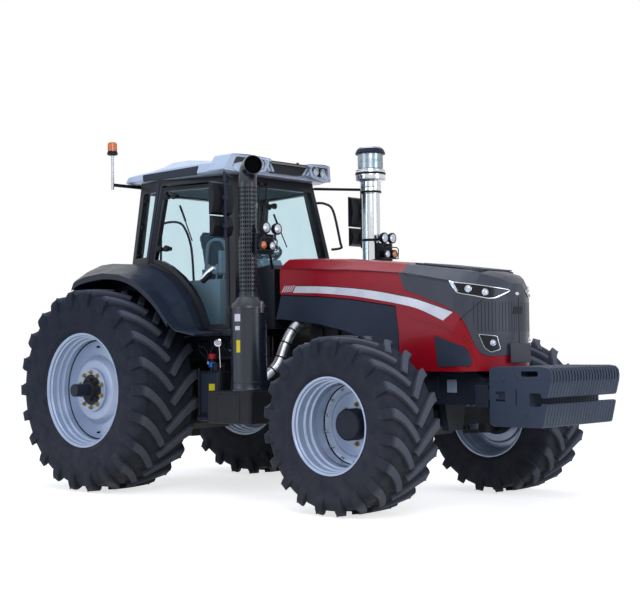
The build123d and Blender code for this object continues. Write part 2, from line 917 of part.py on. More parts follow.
with BuildPart() as hood:
    add(hood_shell())
    with BuildSketch(side_plane(600)):
        with BuildLine():
            Polyline(*nose_outline, close=True)
        make_face()
    extrude(amount=1200, mode=Mode.SUBTRACT)
    add(hood_band(mesh_outline, -1, mesh_depth), mode=Mode.SUBTRACT)
    # Hinge lugs under the rear of the skin.
    for side, sign in SIDES:
        with BuildSketch(side_plane(sign * hinge_lug_y + hinge_lug / 2)):
            with BuildLine():
                Polyline(
                    (hood_pivot_x - 16, hood_pivot_z - 16),
                    (hood_pivot_x + 16, hood_pivot_z - 16),
                    (hood_pivot_x + 40, hood_sections[0][3] - 18),
                    (hood_pivot_x - 16, hood_sections[0][3] - 18),
                    close=True,
                )
            make_face()
            with Locations((hood_pivot_x, hood_pivot_z)):
                Circle(hinge_pin_r + running_gap, mode=Mode.SUBTRACT)
        extrude(amount=hinge_lug)
keep(hood.part, "hood")

with BuildPart() as hood_nose:
    add(hood_shell())
    with BuildSketch(side_plane(600)):
        with BuildLine():
            Polyline(*nose_outline, close=True)
        make_face()
    extrude(amount=1200, mode=Mode.INTERSECT)
    add(hood_band(headlamp_outline, -lamp_stand, hood_wall - 1))
    # Upright slots of the grille, across the front.
    slot_count = int(2 * grille_half / grille_step) + 1
    with BuildSketch(cross_plane(3900)):
        with Locations((0, (grille_low + grille_high) / 2)):
            with GridLocations(grille_step, 1, slot_count, 1):
                Rectangle(grille_slot, grille_high - grille_low)
    extrude(amount=400, mode=Mode.SUBTRACT)
keep(hood_nose.part, "hood_nose")

# Blank mounting plate at the foot of the nose.
plate_x = nose_tip + 20
with BuildPart() as front_plate:
    with BuildSketch(cross_plane(plate_x)):
        with Locations((0, 1318)):
            Rectangle(300, 166)
    extrude(amount=6)
    with BuildSketch(cross_plane(nose_tip + running_gap)):
        with Locations((0, 1330)):
            Rectangle(160, 40)
    extrude(amount=plate_x - nose_tip)
keep(front_plate.part, "front_plate")

# Mesh side panels below the hood, on brackets from the engine.
panel_face_y = 452.0
panel_thick = 10.0
side_panel_outline = (
    (1717, 1665),
    (1780, 1883 - panel_gap),
    (2300, 1848 - panel_gap),
    (2670, 1812 - panel_gap),
    (2965, 1767 - panel_gap),
    (3160, 1738 - panel_gap),
    (3196, 1480),
    (3190, 1335),
    (2580, 1526),
    (2230, 1600),
    (1780, 1649),
    (1700, 1649),
)
with BuildPart() as side_panels:
    for side, sign in SIDES:
        outer = panel_face_y if sign > 0 else -panel_face_y + panel_thick
        with BuildSketch(side_plane(outer)):
            with BuildLine():
                Polyline(*side_panel_outline, close=True)
            make_face()
        extrude(amount=panel_thick)
        reach = panel_face_y - panel_thick - engine_wide_half + 2
        outer = panel_face_y - panel_thick + 2 if sign > 0 else -engine_wide_half
        for station in (2420, 2950):
            with BuildSketch(side_plane(outer)):
                with Locations((station, engine_top - 190)):
                    Rectangle(60, 40)
            extrude(amount=reach)
keep(side_panels.part, "side_panels")

cowl_front = 1700.0
cowl_half = 455.0
with BuildPart() as cowl:
    with BuildSketch(side_plane(cowl_half)):
        with BuildLine():
            Polyline(
                (cab_corner(2, 1562)[0] + running_gap, 1562),
                (cowl_front, 1562),
                (cowl_front, 2130),
                (cowl_front - 60, 2170),
                (cab_corner(2, 2140)[0] + running_gap, 2140),
                close=True,
            )
        make_face()
    extrude(amount=2 * cowl_half)
    # Firewall foot, down to the gearbox.
    with BuildSketch(side_plane(200)):
        with BuildLine():
            Polyline(
                (1560, gearbox_top + running_gap),
                (1660, gearbox_top + running_gap),
                (1660, 1570),
                (1560, 1570),
                close=True,
            )
        make_face()
    extrude(amount=400)
    # Hinge brackets, with the pins that carry the hood.
    for side, sign in SIDES:
        inner_y = sign * (hinge_lug_y - hinge_lug - 1)
        with BuildSketch(side_plane(inner_y + hinge_lug / 2)):
            with BuildLine():
                Polyline(
                    (cowl_front - 5, hood_pivot_z - 90),
                    (hood_pivot_x + 18, hood_pivot_z - 18),
                    (hood_pivot_x + 18, hood_pivot_z + 18),
                    (hood_pivot_x - 18, hood_pivot_z + 18),
                    (cowl_front - 5, hood_pivot_z - 30),
                    close=True,
                )
            make_face()
        extrude(amount=hinge_lug)
        start = hinge_lug_y + hinge_lug / 2 + 4 if sign > 0 else -hinge_lug_y + hinge_lug
        with BuildSketch(side_plane(start)):
            with Locations((hood_pivot_x, hood_pivot_z)):
                Circle(hinge_pin_r)
        extrude(amount=hinge_lug * 1.5 + 4)
keep(cowl.part, "cowl")

# ---- Exhaust and intake ----------------------------------------------------------

stack_x = 1850.0
stack_y = -950.0
muffler_r = 165.0
muffler_bottom = 1010.0
muffler_top = 1765.0
cone_top = 1845.0
pipe_r = 84.0
pipe_wall = 3.0
pipe_top = 2880.0
bend_r = 150.0
mouth_length = 70.0
mouth_turn = -31.0  # degrees that the mouth is turned outboard

with BuildPart() as muffler:
    with BuildSketch(Plane(origin=(ahead(stack_x), stack_y, 0), x_dir=(1, 0, 0), z_dir=(0, -1, 0))):
        with BuildLine():
            Polyline(
                (0, muffler_bottom - 14),
                (muffler_r + 14, muffler_bottom - 14),
                (muffler_r + 14, muffler_bottom),
                (muffler_r, muffler_bottom),
                (muffler_r, muffler_top),
                (pipe_r + 12, cone_top),
                (0, cone_top),
                close=True,
            )
        make_face()
    revolve(axis=Axis((ahead(stack_x), stack_y, 0), (0, 0, 1)))
keep(muffler.part, "muffler")

mouth_x = math.cos(math.radians(mouth_turn))
mouth_y = math.sin(math.radians(mouth_turn))
mouth_reach = bend_r + mouth_length
with BuildPart() as exhaust_stack:
    with BuildLine() as route:
        FilletPolyline(
            (ahead(stack_x), stack_y, cone_top),
            (ahead(stack_x), stack_y, pipe_top + bend_r),
            (
                ahead(stack_x) + mouth_reach * mouth_x,
                stack_y + mouth_reach * mouth_y,
                pipe_top + bend_r,
            ),
            radius=bend_r,
        )
    with BuildSketch(Plane(origin=route.line @ 0, z_dir=route.line % 0)):
        Circle(pipe_r)
    sweep()
    with BuildSketch(Plane(origin=route.line @ 1, z_dir=route.line % 1)):
        Circle(pipe_r - pipe_wall)
    extrude(amount=-mouth_length, mode=Mode.SUBTRACT)
keep(exhaust_stack.part, "exhaust_stack")

# Pipe from the engine down to the muffler's foot, and in at its side.
elbow_r = 38.0
muffler_side_y = stack_y + muffler_r + running_gap
with BuildPart() as exhaust_pipe:
    with BuildLine() as route:
        FilletPolyline(
            (ahead(2130), -engine_wide_half - running_gap, 1560),
            (ahead(2130), -engine_wide_half - 90, 1560),
            (ahead(1790), -600, 1160),
            (ahead(stack_x), -680, 1110),
            (ahead(stack_x), muffler_side_y, 1110),
            radius=45,
        )
    with BuildSketch(Plane(origin=route.line @ 0, z_dir=route.line % 0)):
        Circle(elbow_r)
    sweep()
keep(exhaust_pipe.part, "exhaust_pipe")

intake_y = 800.0
canister_r = 155.0
with BuildPart() as intake_stack:
    with BuildSketch(Plane(origin=(ahead(stack_x), intake_y, 0), x_dir=(1, 0, 0), z_dir=(0, -1, 0))):
        with BuildLine():
            Polyline(
                (0, 1330),
                (canister_r, 1330),
                (canister_r, 2010),
                (95, 2070),
                (90, 2070),
                (90, 2930),
                (104, 2945),
                (104, 3050),
                (150, 3065),
                (150, 3160),
                (126, 3172),
                (126, 3330),
                (150, 3340),
                (120, 3392),
                (0, 3402),
                close=True,
            )
        make_face()
    revolve(axis=Axis((ahead(stack_x), intake_y, 0), (0, 0, 1)))
    # Duct into the engine, below the side panel.
    with BuildLine() as duct:
        FilletPolyline(
            (ahead(stack_x), intake_y, 1450),
            (ahead(stack_x), intake_y - 290, 1450),
            (ahead(stack_x) + 280, engine_wide_half + 130, 1450),
            (ahead(stack_x) + 280, engine_wide_half + running_gap, 1450),
            radius=60,
        )
    with BuildSketch(Plane(origin=duct.line @ 0, z_dir=duct.line % 0)):
        Circle(52)
    sweep(path=duct.line)
keep(intake_stack.part, "intake_stack")

# ---- Cab panels ------------------------------------------------------------------

# Outlines in side view: (ahead, up).
door_head = cab_top - 72
door_head_gap = 18.0  # room for the raked door to rise as it opens
door_foot = cab_bottom + 66
window_foot = door_foot + 46
window_head = door_head - 42
door_outline = (
    (310, arch_z(2250)), (430, door_head), (1206, door_head), (1436, door_foot),
    (1092, door_foot), (1062, arch_z(1625)), (960, arch_z(1795)), (860, arch_z(1920)),
    (720, arch_z(2050)), (560, arch_z(2155)), (430, arch_z(2215)),
)
door_window = (
    (365, arch_z(2270)), (477, window_head), (1164, window_head), (1383, window_foot),
    (1118, window_foot), (1102, arch_z(1642)), (998, arch_z(1822)), (892, arch_z(1955)),
    (748, arch_z(2086)), (580, arch_z(2196)), (450, arch_z(2255)),
)
quarter_foot = arch_z(2300)
quarter_head = cab_top - 110
quarter_window = (
    (20, quarter_foot), (118, quarter_head), (345, quarter_head), (238, quarter_foot),
)
# Outlines in front view: (half width, up), foot and head.
windscreen_outline = ((700, 1760), (520, cab_top - 100))
rear_window_outline = ((660, 1900), (610, quarter_head))


def windows(outline):
    """Corners of a window that is the same to the left and to the right."""
    return list(outline) + [(-y, z) for y, z in reversed(outline)]


# Door hinges: pins on the front pillar, barrels on the door, both on one raked line.
hinge_foot = (1440.0, door_foot)
hinge_head = (1208.0, door_head + 12)
hinge_stand = 14.0  # hinge line, out from the cab's skin
door_pin_r = 5.0
barrel_r = 10.0
barrel_length = 60.0
leaf = 12.0
hinge_shares = (0.12, 0.88)


def hinge_plane(sign, share, along):
    """Plane across the door's hinge line: local x runs forward, z up the line."""
    foot = Vector(
        ahead(hinge_foot[0]), sign * (cab_side_y(*hinge_foot) + hinge_stand), hinge_foot[1]
    )
    head = Vector(
        ahead(hinge_head[0]), sign * (cab_side_y(*hinge_head) + hinge_stand), hinge_head[1]
    )
    rise = (head - foot).normalized()
    rear, front = cab_corner(1, hinge_foot[1]), cab_corner(2, hinge_foot[1])
    skin = Vector(front[0] - rear[0], sign * (front[1] - rear[1]), 0)
    level = (skin - rise * skin.dot(rise)).normalized()
    origin = foot + (head - foot) * share + rise * along
    return Plane(origin=origin, x_dir=level, z_dir=rise)


with BuildPart() as cab_frame:
    add(cab_layer(0, cab_wall))
    # Door openings, with the gap all round the doors, and the quarter windows.
    with BuildSketch(side_plane(1000)):
        with BuildLine():
            Polyline(*door_outline, close=True)
        make_face()
        offset(amount=panel_gap, kind=Kind.INTERSECTION)
        with BuildLine():
            rear_head, front_head = door_outline[1][0], door_outline[2][0]
            Polyline(
                (rear_head, door_head),
                (front_head, door_head),
                (front_head, door_head + door_head_gap),
                (rear_head, door_head + door_head_gap),
                close=True,
            )
        make_face()
        with BuildLine():
            Polyline(*quarter_window, close=True)
        make_face()
    extrude(amount=2000, mode=Mode.SUBTRACT)
    with BuildSketch(cross_plane(900)):
        with BuildLine():
            Polyline(*windows(windscreen_outline), close=True)
        make_face()
    extrude(amount=800, mode=Mode.SUBTRACT)
    with BuildSketch(cross_plane(-400)):
        with BuildLine():
            Polyline(*windows(rear_window_outline), close=True)
        make_face()
    extrude(amount=800, mode=Mode.SUBTRACT)
    # Wheel houses, cut out beside the platform.
    for side, sign in SIDES:
        start = 1000 if sign > 0 else -wheel_house_y
        with BuildSketch(side_plane(start)):
            with BuildLine():
                Polyline(*wheel_house_outline(running_gap), close=True)
            make_face()
        extrude(amount=1000 - wheel_house_y, mode=Mode.SUBTRACT)
    # Mounts that the platform stands on.
    with BuildSketch(plan_plane(gearbox_top)):
        with Locations((60, 230), (60, -230), (1330, 170), (1330, -170)):
            Circle(50)
    extrude(amount=cab_bottom - gearbox_top + 5)
    # Hinge pins, each held between two leaves on the front pillar.
    for side, sign in SIDES:
        for share in hinge_shares:
            reach = barrel_length / 2 + running_gap
            with BuildSketch(hinge_plane(sign, share, -reach - leaf)):
                Circle(door_pin_r)
            extrude(amount=2 * (reach + leaf))
            for along in (-reach - leaf, reach):
                with BuildSketch(hinge_plane(sign, share, along)):
                    Circle(9)
                    with Locations((25, -sign * 8)):
                        Rectangle(36, 26)
                extrude(amount=leaf)
keep(cab_frame.part, "cab_frame")

with BuildPart() as cab_glass:
    add(cab_layer(glass_inset, glass_inset + glass_thick))
    with BuildPart(mode=Mode.PRIVATE) as panes:
        with BuildSketch(side_plane(1000)):
            with BuildLine():
                Polyline(*quarter_window, close=True)
            make_face()
        extrude(amount=2000)
        with BuildSketch(cross_plane(900)):
            with BuildLine():
                Polyline(*windows(windscreen_outline), close=True)
            make_face()
        extrude(amount=800)
        with BuildSketch(cross_plane(-300)):
            with BuildLine():
                Polyline(*windows(rear_window_outline), close=True)
            make_face()
        extrude(amount=440)
    add(panes.part, mode=Mode.INTERSECT)
keep(cab_glass.part, "cab_glass")

for side, sign in SIDES:
    start = 1000 if sign > 0 else -300
    with BuildPart() as door:
        add(cab_layer(0, cab_wall - 10))
        with BuildSketch(side_plane(start)):
            with BuildLine():
                Polyline(*door_outline, close=True)
            make_face()
        extrude(amount=700, mode=Mode.INTERSECT)
        with BuildSketch(side_plane(start)):
            with BuildLine():
                Polyline(*door_window, close=True)
            make_face()
        extrude(amount=700, mode=Mode.SUBTRACT)
        for share in hinge_shares:
            with BuildSketch(hinge_plane(sign, share, -barrel_length / 2)):
                Circle(barrel_r)
                with Locations((-25.5, -sign * 12)):
                    Rectangle(38, 22)
                Circle(door_pin_r + running_gap, mode=Mode.SUBTRACT)
            extrude(amount=barrel_length)
    keep(door.part, f"door_{side}")

    with BuildPart() as door_glass:
        add(cab_layer(glass_inset, glass_inset + glass_thick))
        with BuildSketch(side_plane(start)):
            with BuildLine():
                Polyline(*door_window, close=True)
            make_face()
        extrude(amount=700, mode=Mode.INTERSECT)
    keep(door_glass.part, f"door_glass_{side}")

# Roof: plan outlines at rising heights: height, rear, front, half width.
roof_nose = 1460.0
roof_levels = (
    (cab_top, -120.0, 1430.0, 730.0),
    (cab_top + 45, -140.0, roof_nose, 762.0),
    (cab_top + 130, -100.0, 1420.0, 735.0),
    (cab_top + 208, 60.0, 1300.0, 640.0),
)
with BuildPart() as cab_roof:
    for z, rear, front, half_width in roof_levels:
        with BuildSketch(plan_plane(z)):
            with BuildLine():
                half = [
                    (rear, half_width - 170),
                    (rear + 110, half_width),
                    (front - 130, half_width),
                    (front, half_width - 190),
                ]
                Polyline(*half, *[(x, -y) for x, y in reversed(half)], close=True)
            make_face()
    loft(ruled=True)
keep(cab_roof.part, "cab_roof")

for side, sign in SIDES:
    with BuildPart() as fender:
        for column, out in enumerate(fender_out, start=1):
            with BuildSketch(side_plane(sign * out)):
                with BuildLine():
                    top = [(row[0], row[column]) for row in fender_rows]
                    under = [(x, z - fender_thick) for x, z in reversed(top)]
                    Polyline(*top, *under, close=True)
                make_face()
        loft(ruled=True)
        # Wheel house: its crown under the cab's side, its inner and front walls.
        inner = wheel_house_y + running_gap
        for lift, inset, mode in ((0, 0, Mode.ADD), (-fender_thick, fender_wall, Mode.SUBTRACT)):
            start = fender_in_y + 1 if sign > 0 else -inner - inset
            with BuildSketch(side_plane(start)):
                with BuildLine():
                    Polyline(*wheel_house_outline(lift), close=True)
                make_face()
            extrude(amount=fender_in_y + 1 - inner - inset, mode=mode)
    keep(fender.part, f"fender_{side}")

with BuildPart() as seat:
    with BuildSketch(side_plane(260)):
        with BuildLine():
            Polyline(
                (480, 2010), (500, 1900), (960, 1930), (980, 1990), (640, 2010),
                (520, 2560), (430, 2620), (390, 2560), close=True,
            )
        make_face()
    extrude(amount=520)
    with BuildSketch(side_plane(190)):
        with BuildLine():
            Polyline(
                (500, cab_bottom + cab_floor), (900, cab_bottom + cab_floor),
                (860, 1910), (560, 1910), close=True,
            )
        make_face()
    extrude(amount=380)
keep(seat.part, "seat")

column_foot = (1330.0, cab_bottom + cab_floor)
steering_r = 205.0
steering_x = 1105.0
steering_z = 2275.0
with BuildPart() as steering_console:
    with BuildSketch(side_plane(150)):
        with BuildLine():
            Polyline(
                (1240, column_foot[1]), (1395, column_foot[1]), (1360, 1950),
                (1200, 2260), (1130, 2230), (1240, 1900), close=True,
            )
        make_face()
    extrude(amount=300)
    steering_spot = (ahead(steering_x), 0, steering_z)
    with BuildSketch(Plane(origin=steering_spot, x_dir=(0, 1, 0), z_dir=(-0.5, 0, 0.866))):
        Circle(steering_r)
        Circle(steering_r - 26, mode=Mode.SUBTRACT)
        with PolarLocations(0, 3, start_angle=90):
            with Locations((steering_r / 2, 0)):
                Rectangle(steering_r - 10, 30)
        Circle(60)
    extrude(amount=26, both=False)
    with BuildSketch(Plane(origin=steering_spot, x_dir=(0, 1, 0), z_dir=(0.5, 0, -0.866))):
        Circle(32)
    extrude(amount=90)
keep(steering_console.part, "steering_console")

# ---- Mirrors, lamps, beacon ----------------------------------------------------

mirror_arm_z = cab_top - 54
mirror_y = 978.0
with BuildPart() as mirrors:
    for side, sign in SIDES:
        for low, high, half_width in ((2620, 2930, 128), (2420, 2610, 122)):
            start = sign * mirror_y + half_width
            with BuildSketch(side_plane(start)):
                with BuildLine():
                    Polyline(
                        (1500, low), (1545, low + 20), (1570, (low + high) / 2),
                        (1545, high - 20), (1500, high), close=True,
                    )
                make_face()
            extrude(amount=2 * half_width)
        # Upright tube, and the arm to the front pillar's head.
        with BuildSketch(plan_plane(2400)):
            with Locations((1575, sign * mirror_y)):
                Circle(13)
        extrude(amount=mirror_arm_z + 14 - 2400)
        pillar_x, pillar_y = cab_corner(2, mirror_arm_z)
        run = (pillar_x - 1575, pillar_y - mirror_y)
        with BuildSketch(Plane(
            origin=(ahead(1575), sign * mirror_y, mirror_arm_z),
            x_dir=(0, 0, 1),
            z_dir=(run[0], sign * run[1], 0),
        )):
            Circle(14)
        extrude(amount=math.hypot(*run) - 4)
keep(mirrors.part, "mirrors")

pod_depth = 40.0
lamp_arm_y = 475.0
lamp_arm_z = 2247.0
with BuildPart() as work_lamps:
    for side, sign in SIDES:
        # Roof pods, with two round lamps each.
        start = sign * 470 + 165
        with BuildSketch(side_plane(start)):
            with Locations((roof_nose + running_gap + pod_depth / 2, cab_top + 90)):
                Rectangle(pod_depth, 96)
        extrude(amount=330)
        # Bracket beside the hood, with the side lamps.
        start = sign * 875 + 105
        with BuildSketch(side_plane(start)):
            with Locations((2000, 2262)):
                Rectangle(80, 16)
        extrude(amount=210)
        start = 790 if sign > 0 else -lamp_arm_y
        with BuildSketch(side_plane(start)):
            with Locations((1985, lamp_arm_z)):
                Rectangle(36, 16)
        extrude(amount=790 - lamp_arm_y)
        start = lamp_arm_y + 16 if sign > 0 else -lamp_arm_y
        with BuildSketch(side_plane(start)):
            with BuildLine():
                Polyline(
                    (2003, lamp_arm_z - 8), (2003, lamp_arm_z + 8), (1700, lamp_arm_z - 92),
                    (1630, lamp_arm_z - 92), (1630, lamp_arm_z - 150), (1700, lamp_arm_z - 150),
                    close=True,
                )
            make_face()
        extrude(amount=16)
        start = lamp_arm_y + 1 if sign > 0 else -cowl_half - running_gap
        with BuildSketch(side_plane(start)):
            with Locations((1660, lamp_arm_z - 120)):
                Rectangle(50, 50)
        extrude(amount=lamp_arm_y + 1 - cowl_half - running_gap)
        for x, y, z, r, depth in (
            (2010, 906, 2471, 52, 60), (2020, 769, 2466, 52, 60),
            (2005, 939, 2312, 42, 60), (2007, 826, 2308, 42, 60),
        ):
            with BuildSketch(cross_plane(x - depth / 2)):
                with Locations((sign * y, z)):
                    Circle(r)
            extrude(amount=depth)
        with BuildSketch(plan_plane(2262)):
            with Locations((1990, sign * 906), (1990, sign * 769), (1990, sign * 939), (1990, sign * 826)):
                Circle(9)
        extrude(amount=190)
keep(work_lamps.part, "work_lamps")

beacon_x = -85.0
beacon_y = -950.0
lens_z = cab_top + 320
with BuildPart() as beacon:
    with BuildSketch(Plane(origin=(ahead(beacon_x), beacon_y, 0), x_dir=(1, 0, 0), z_dir=(0, -1, 0))):
        with BuildLine():
            Polyline(
                (0, cab_top - 60), (14, cab_top - 60), (14, lens_z - 30), (52, lens_z - 28),
                (52, lens_z - 2), (44, lens_z), (44, lens_z + 60), (30, lens_z + 92),
                (0, lens_z + 100), close=True,
            )
        make_face()
    revolve(axis=Axis((ahead(beacon_x), beacon_y, 0), (0, 0, 1)))
    with BuildSketch(side_plane(-560)):
        with Locations((beacon_x, cab_top - running_gap - 15)):
            Rectangle(30, 30)
    extrude(amount=-560 - beacon_y)
keep(beacon.part, "beacon")

# ---- Tanks and steps -------------------------------------------------------------

with BuildPart() as side_tanks:
    with BuildSketch(plan_plane(700)):
        with Locations((1745, -810)):
            RectangleRounded(590, 620, 40)
    extrude(amount=muffler_bottom - 14 - 700)
    with BuildSketch(plan_plane(700)):
        with Locations((1245, -700)):
            RectangleRounded(320, 360, 40)
    extrude(amount=470)
    with BuildSketch(plan_plane(1170)):
        with Locations((1260, -800), (1230, -690)):
            Circle(40)
    extrude(amount=75)
    for station in (1230, 1700):
        with BuildSketch(side_plane(-gearbox_half)):
            with Locations((station, 850)):
                Rectangle(70, 90)
        extrude(amount=300)
keep(side_tanks.part, "side_tanks")

with BuildPart() as fuel_tank:
    with BuildSketch(side_plane(1060)):
        with BuildLine():
            Polyline(
                (1460, 660), (1520, 600), (2150, 600), (2200, 660), (2200, 1180),
                (2140, 1240), (1500, 1240), (1460, 1200), close=True,
            )
        make_face()
    extrude(amount=610)
    for station in (1560, 1840):
        with BuildSketch(side_plane(455)):
            with Locations((station, 850)):
                Rectangle(70, 90)
        extrude(amount=455 - gearbox_half)
    # Air cleaner's stand on the tank's top.
    with BuildSketch(plan_plane(1238)):
        with Locations((stack_x, intake_y)):
            Circle(60)
    extrude(amount=92)
keep(fuel_tank.part, "fuel_tank")

step_top = cab_bottom - running_gap
# Steps: height, how far the tread's middle stands out.
step_rows = ((480.0, 1080.0), (760.0, 1040.0), (1040.0, 1000.0), (1300.0, 960.0))
with BuildPart() as steps:
    for z, out in step_rows:
        with BuildSketch(plan_plane(z)):
            with Locations((1275, out)):
                Rectangle(300, 190)
        extrude(amount=30)
    for station in (1120, 1418):
        with BuildSketch(cross_plane(station)):
            with BuildLine():
                Polyline(
                    (1150, 480), (1190, 480), (1060, 1330), (1020, step_top), (740, step_top),
                    (740, 1440), (960, 1440), close=True,
                )
            make_face()
        extrude(amount=12)
keep(steps.part, "steps")

# ---- Rear linkage ------------------------------------------------------------------

lift_arm_y = 420.0
lift_arm_thick = 50.0
lift_arm_end_x = -760.0
lift_arm_end_z = 1300.0
lift_pin_r = 16.0
lift_rod_thick = 36.0
lift_rod_in = lift_arm_y + lift_arm_thick / 2 + running_gap
ball_r = 45.0
ball_x = -rear_reach + ball_r
ball_z = 600.0
ball_width = 60.0
ball_bore = 18.4
lift_pin_x = -800.0

with BuildPart() as lift_arms:
    # Rockshaft, with an arm at each end.
    shaft_half = lift_arm_y + lift_arm_thick / 2
    with BuildSketch(side_plane(shaft_half)):
        with Locations((rockshaft_x, rockshaft_z)):
            Circle(rockshaft_r)
    extrude(amount=2 * shaft_half)
    for side, sign in SIDES:
        with BuildSketch(side_plane(sign * lift_arm_y + lift_arm_thick / 2)):
            with BuildLine():
                Polyline(
                    (rockshaft_x + 75, rockshaft_z),
                    (rockshaft_x, rockshaft_z + 75),
                    (lift_arm_end_x, lift_arm_end_z + 38),
                    (lift_arm_end_x - 38, lift_arm_end_z),
                    (lift_arm_end_x, lift_arm_end_z - 38),
                    (rockshaft_x, rockshaft_z - 75),
                    close=True,
                )
            make_face()
        extrude(amount=lift_arm_thick)
    # Pins that the lift rods hang on.
    pin_half = lift_rod_in + lift_rod_thick + 6
    for start in (pin_half, -lift_arm_y):
        with BuildSketch(side_plane(start)):
            with Locations((lift_arm_end_x, lift_arm_end_z)):
                Circle(lift_pin_r)
        extrude(amount=pin_half - lift_arm_y)
keep(lift_arms.part, "lift_arms")

with BuildPart() as lift_rods:
    for side, sign in SIDES:
        start = lift_rod_in + lift_rod_thick if sign > 0 else -lift_rod_in
        with BuildSketch(side_plane(start)):
            with BuildLine():
                Polyline(
                    (lift_arm_end_x + 34, lift_arm_end_z),
                    (lift_arm_end_x, lift_arm_end_z + 34),
                    (lift_arm_end_x - 34, lift_arm_end_z),
                    (lift_pin_x - 26, link_pivot_z - 20),
                    (lift_pin_x, link_pivot_z - 50),
                    (lift_pin_x + 26, link_pivot_z - 20),
                    close=True,
                )
            make_face()
            with Locations((lift_arm_end_x, lift_arm_end_z)):
                Circle(lift_pin_r + running_gap, mode=Mode.SUBTRACT)
        extrude(amount=lift_rod_thick)
keep(lift_rods.part, "lift_rods")

with BuildPart() as lower_links:
    for side, sign in SIDES:
        with BuildSketch(side_plane(sign * link_pivot_y + link_thick / 2)):
            with BuildLine():
                Polyline(
                    (link_pivot_x + 48, link_pivot_z),
                    (link_pivot_x, link_pivot_z + 48),
                    (lift_pin_x, link_pivot_z + 38),
                    (ball_x + 20, ball_z + 32),
                    (ball_x + 20, ball_z - 32),
                    (lift_pin_x, link_pivot_z - 58),
                    (link_pivot_x, link_pivot_z - 48),
                    close=True,
                )
            make_face()
            with Locations((link_pivot_x, link_pivot_z)):
                Circle(link_pin_r + running_gap, mode=Mode.SUBTRACT)
        extrude(amount=link_thick)
        with BuildSketch(side_plane(sign * link_pivot_y + ball_width / 2)):
            with Locations((ball_x, ball_z)):
                Circle(ball_r)
        extrude(amount=ball_width)
        with BuildSketch(side_plane(sign * link_pivot_y + ball_width / 2 + 1)):
            with Locations((ball_x, ball_z)):
                Circle(ball_bore)
        extrude(amount=ball_width + 2, mode=Mode.SUBTRACT)
keep(lower_links.part, "lower_links")

drawbar_rear = -1060.0
drawbar_z = 470.0
drawbar_thick = 50.0
drawbar_half = 55.0
drawbar_hole_r = 26.0
pto_r = 22.5
pto_z = 880.0
pto_rear = -600.0
top_pin_x = -505.0
top_pin_z = 1120.0
top_pin_r = 14.0
top_link_r = 21.0
top_ear_y = 42.0
top_ear = 16.0

with BuildPart() as rear_coupling:
    # Drawbar, its front anchor and its hanger.
    with BuildSketch(plan_plane(drawbar_z)):
        with BuildLine():
            Polyline(
                (100, -drawbar_half),
                (100, drawbar_half),
                (drawbar_rear, drawbar_half),
                (drawbar_rear, -drawbar_half),
                close=True,
            )
        make_face()
        with Locations((drawbar_rear + 60, 0)):
            Circle(drawbar_hole_r, mode=Mode.SUBTRACT)
    extrude(amount=drawbar_thick)
    with BuildSketch(plan_plane(drawbar_z + drawbar_thick - 1)):
        with Locations((50, 0)):
            Rectangle(90, 2 * drawbar_half)
    extrude(amount=housing_foot - drawbar_z - drawbar_thick + 1 - running_gap)
    with BuildSketch(cross_plane(housing_rear - 60)):
        with BuildLine():
            Polyline(
                (-110, drawbar_z - 40), (110, drawbar_z - 40), (150, 640), (150, 760),
                (-150, 760), (-150, 640), close=True,
            )
        make_face()
    extrude(amount=60 - running_gap)
    # Top link, stowed upright in its ears.
    for sign in (-1, 1):
        with BuildSketch(side_plane(sign * top_ear_y + top_ear / 2)):
            with BuildLine():
                Polyline(
                    (housing_rear - running_gap, top_pin_z - 70),
                    (housing_rear - running_gap, top_pin_z + 70),
                    (top_pin_x - 20, top_pin_z + 30),
                    (top_pin_x - 35, top_pin_z - 10),
                    (top_pin_x - 20, top_pin_z - 35),
                    close=True,
                )
            make_face()
        extrude(amount=top_ear)
    with BuildSketch(side_plane(top_ear_y + top_ear / 2 + 8)):
        with Locations((top_pin_x, top_pin_z)):
            Circle(top_pin_r)
    extrude(amount=2 * top_ear_y + top_ear + 16)
    with BuildSketch(Plane(origin=(ahead(top_pin_x), 0, top_pin_z), z_dir=(-0.12, 0, 1))):
        Circle(top_link_r)
    extrude(amount=430)
keep(rear_coupling.part, "rear_coupling")

with BuildPart() as pto_shaft:
    with BuildSketch(cross_plane(pto_rear)):
        with Locations((0, pto_z)):
            Circle(pto_r)
    extrude(amount=housing_rear - pto_rear - running_gap)
keep(pto_shaft.part, "pto_shaft")
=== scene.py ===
"""Farm tractor, dressed: finishes, formed panels, lugged tyres, cab trim, light and camera.

Places are in metres: ahead of the rear axle, to the driver's left, above the ground.
"""

import json
import logging
import math
from collections.abc import Callable, Sequence
from dataclasses import dataclass
from enum import Enum

import bmesh
import bpy
from mathutils import Matrix, Vector
from mathutils.geometry import tessellate_polygon

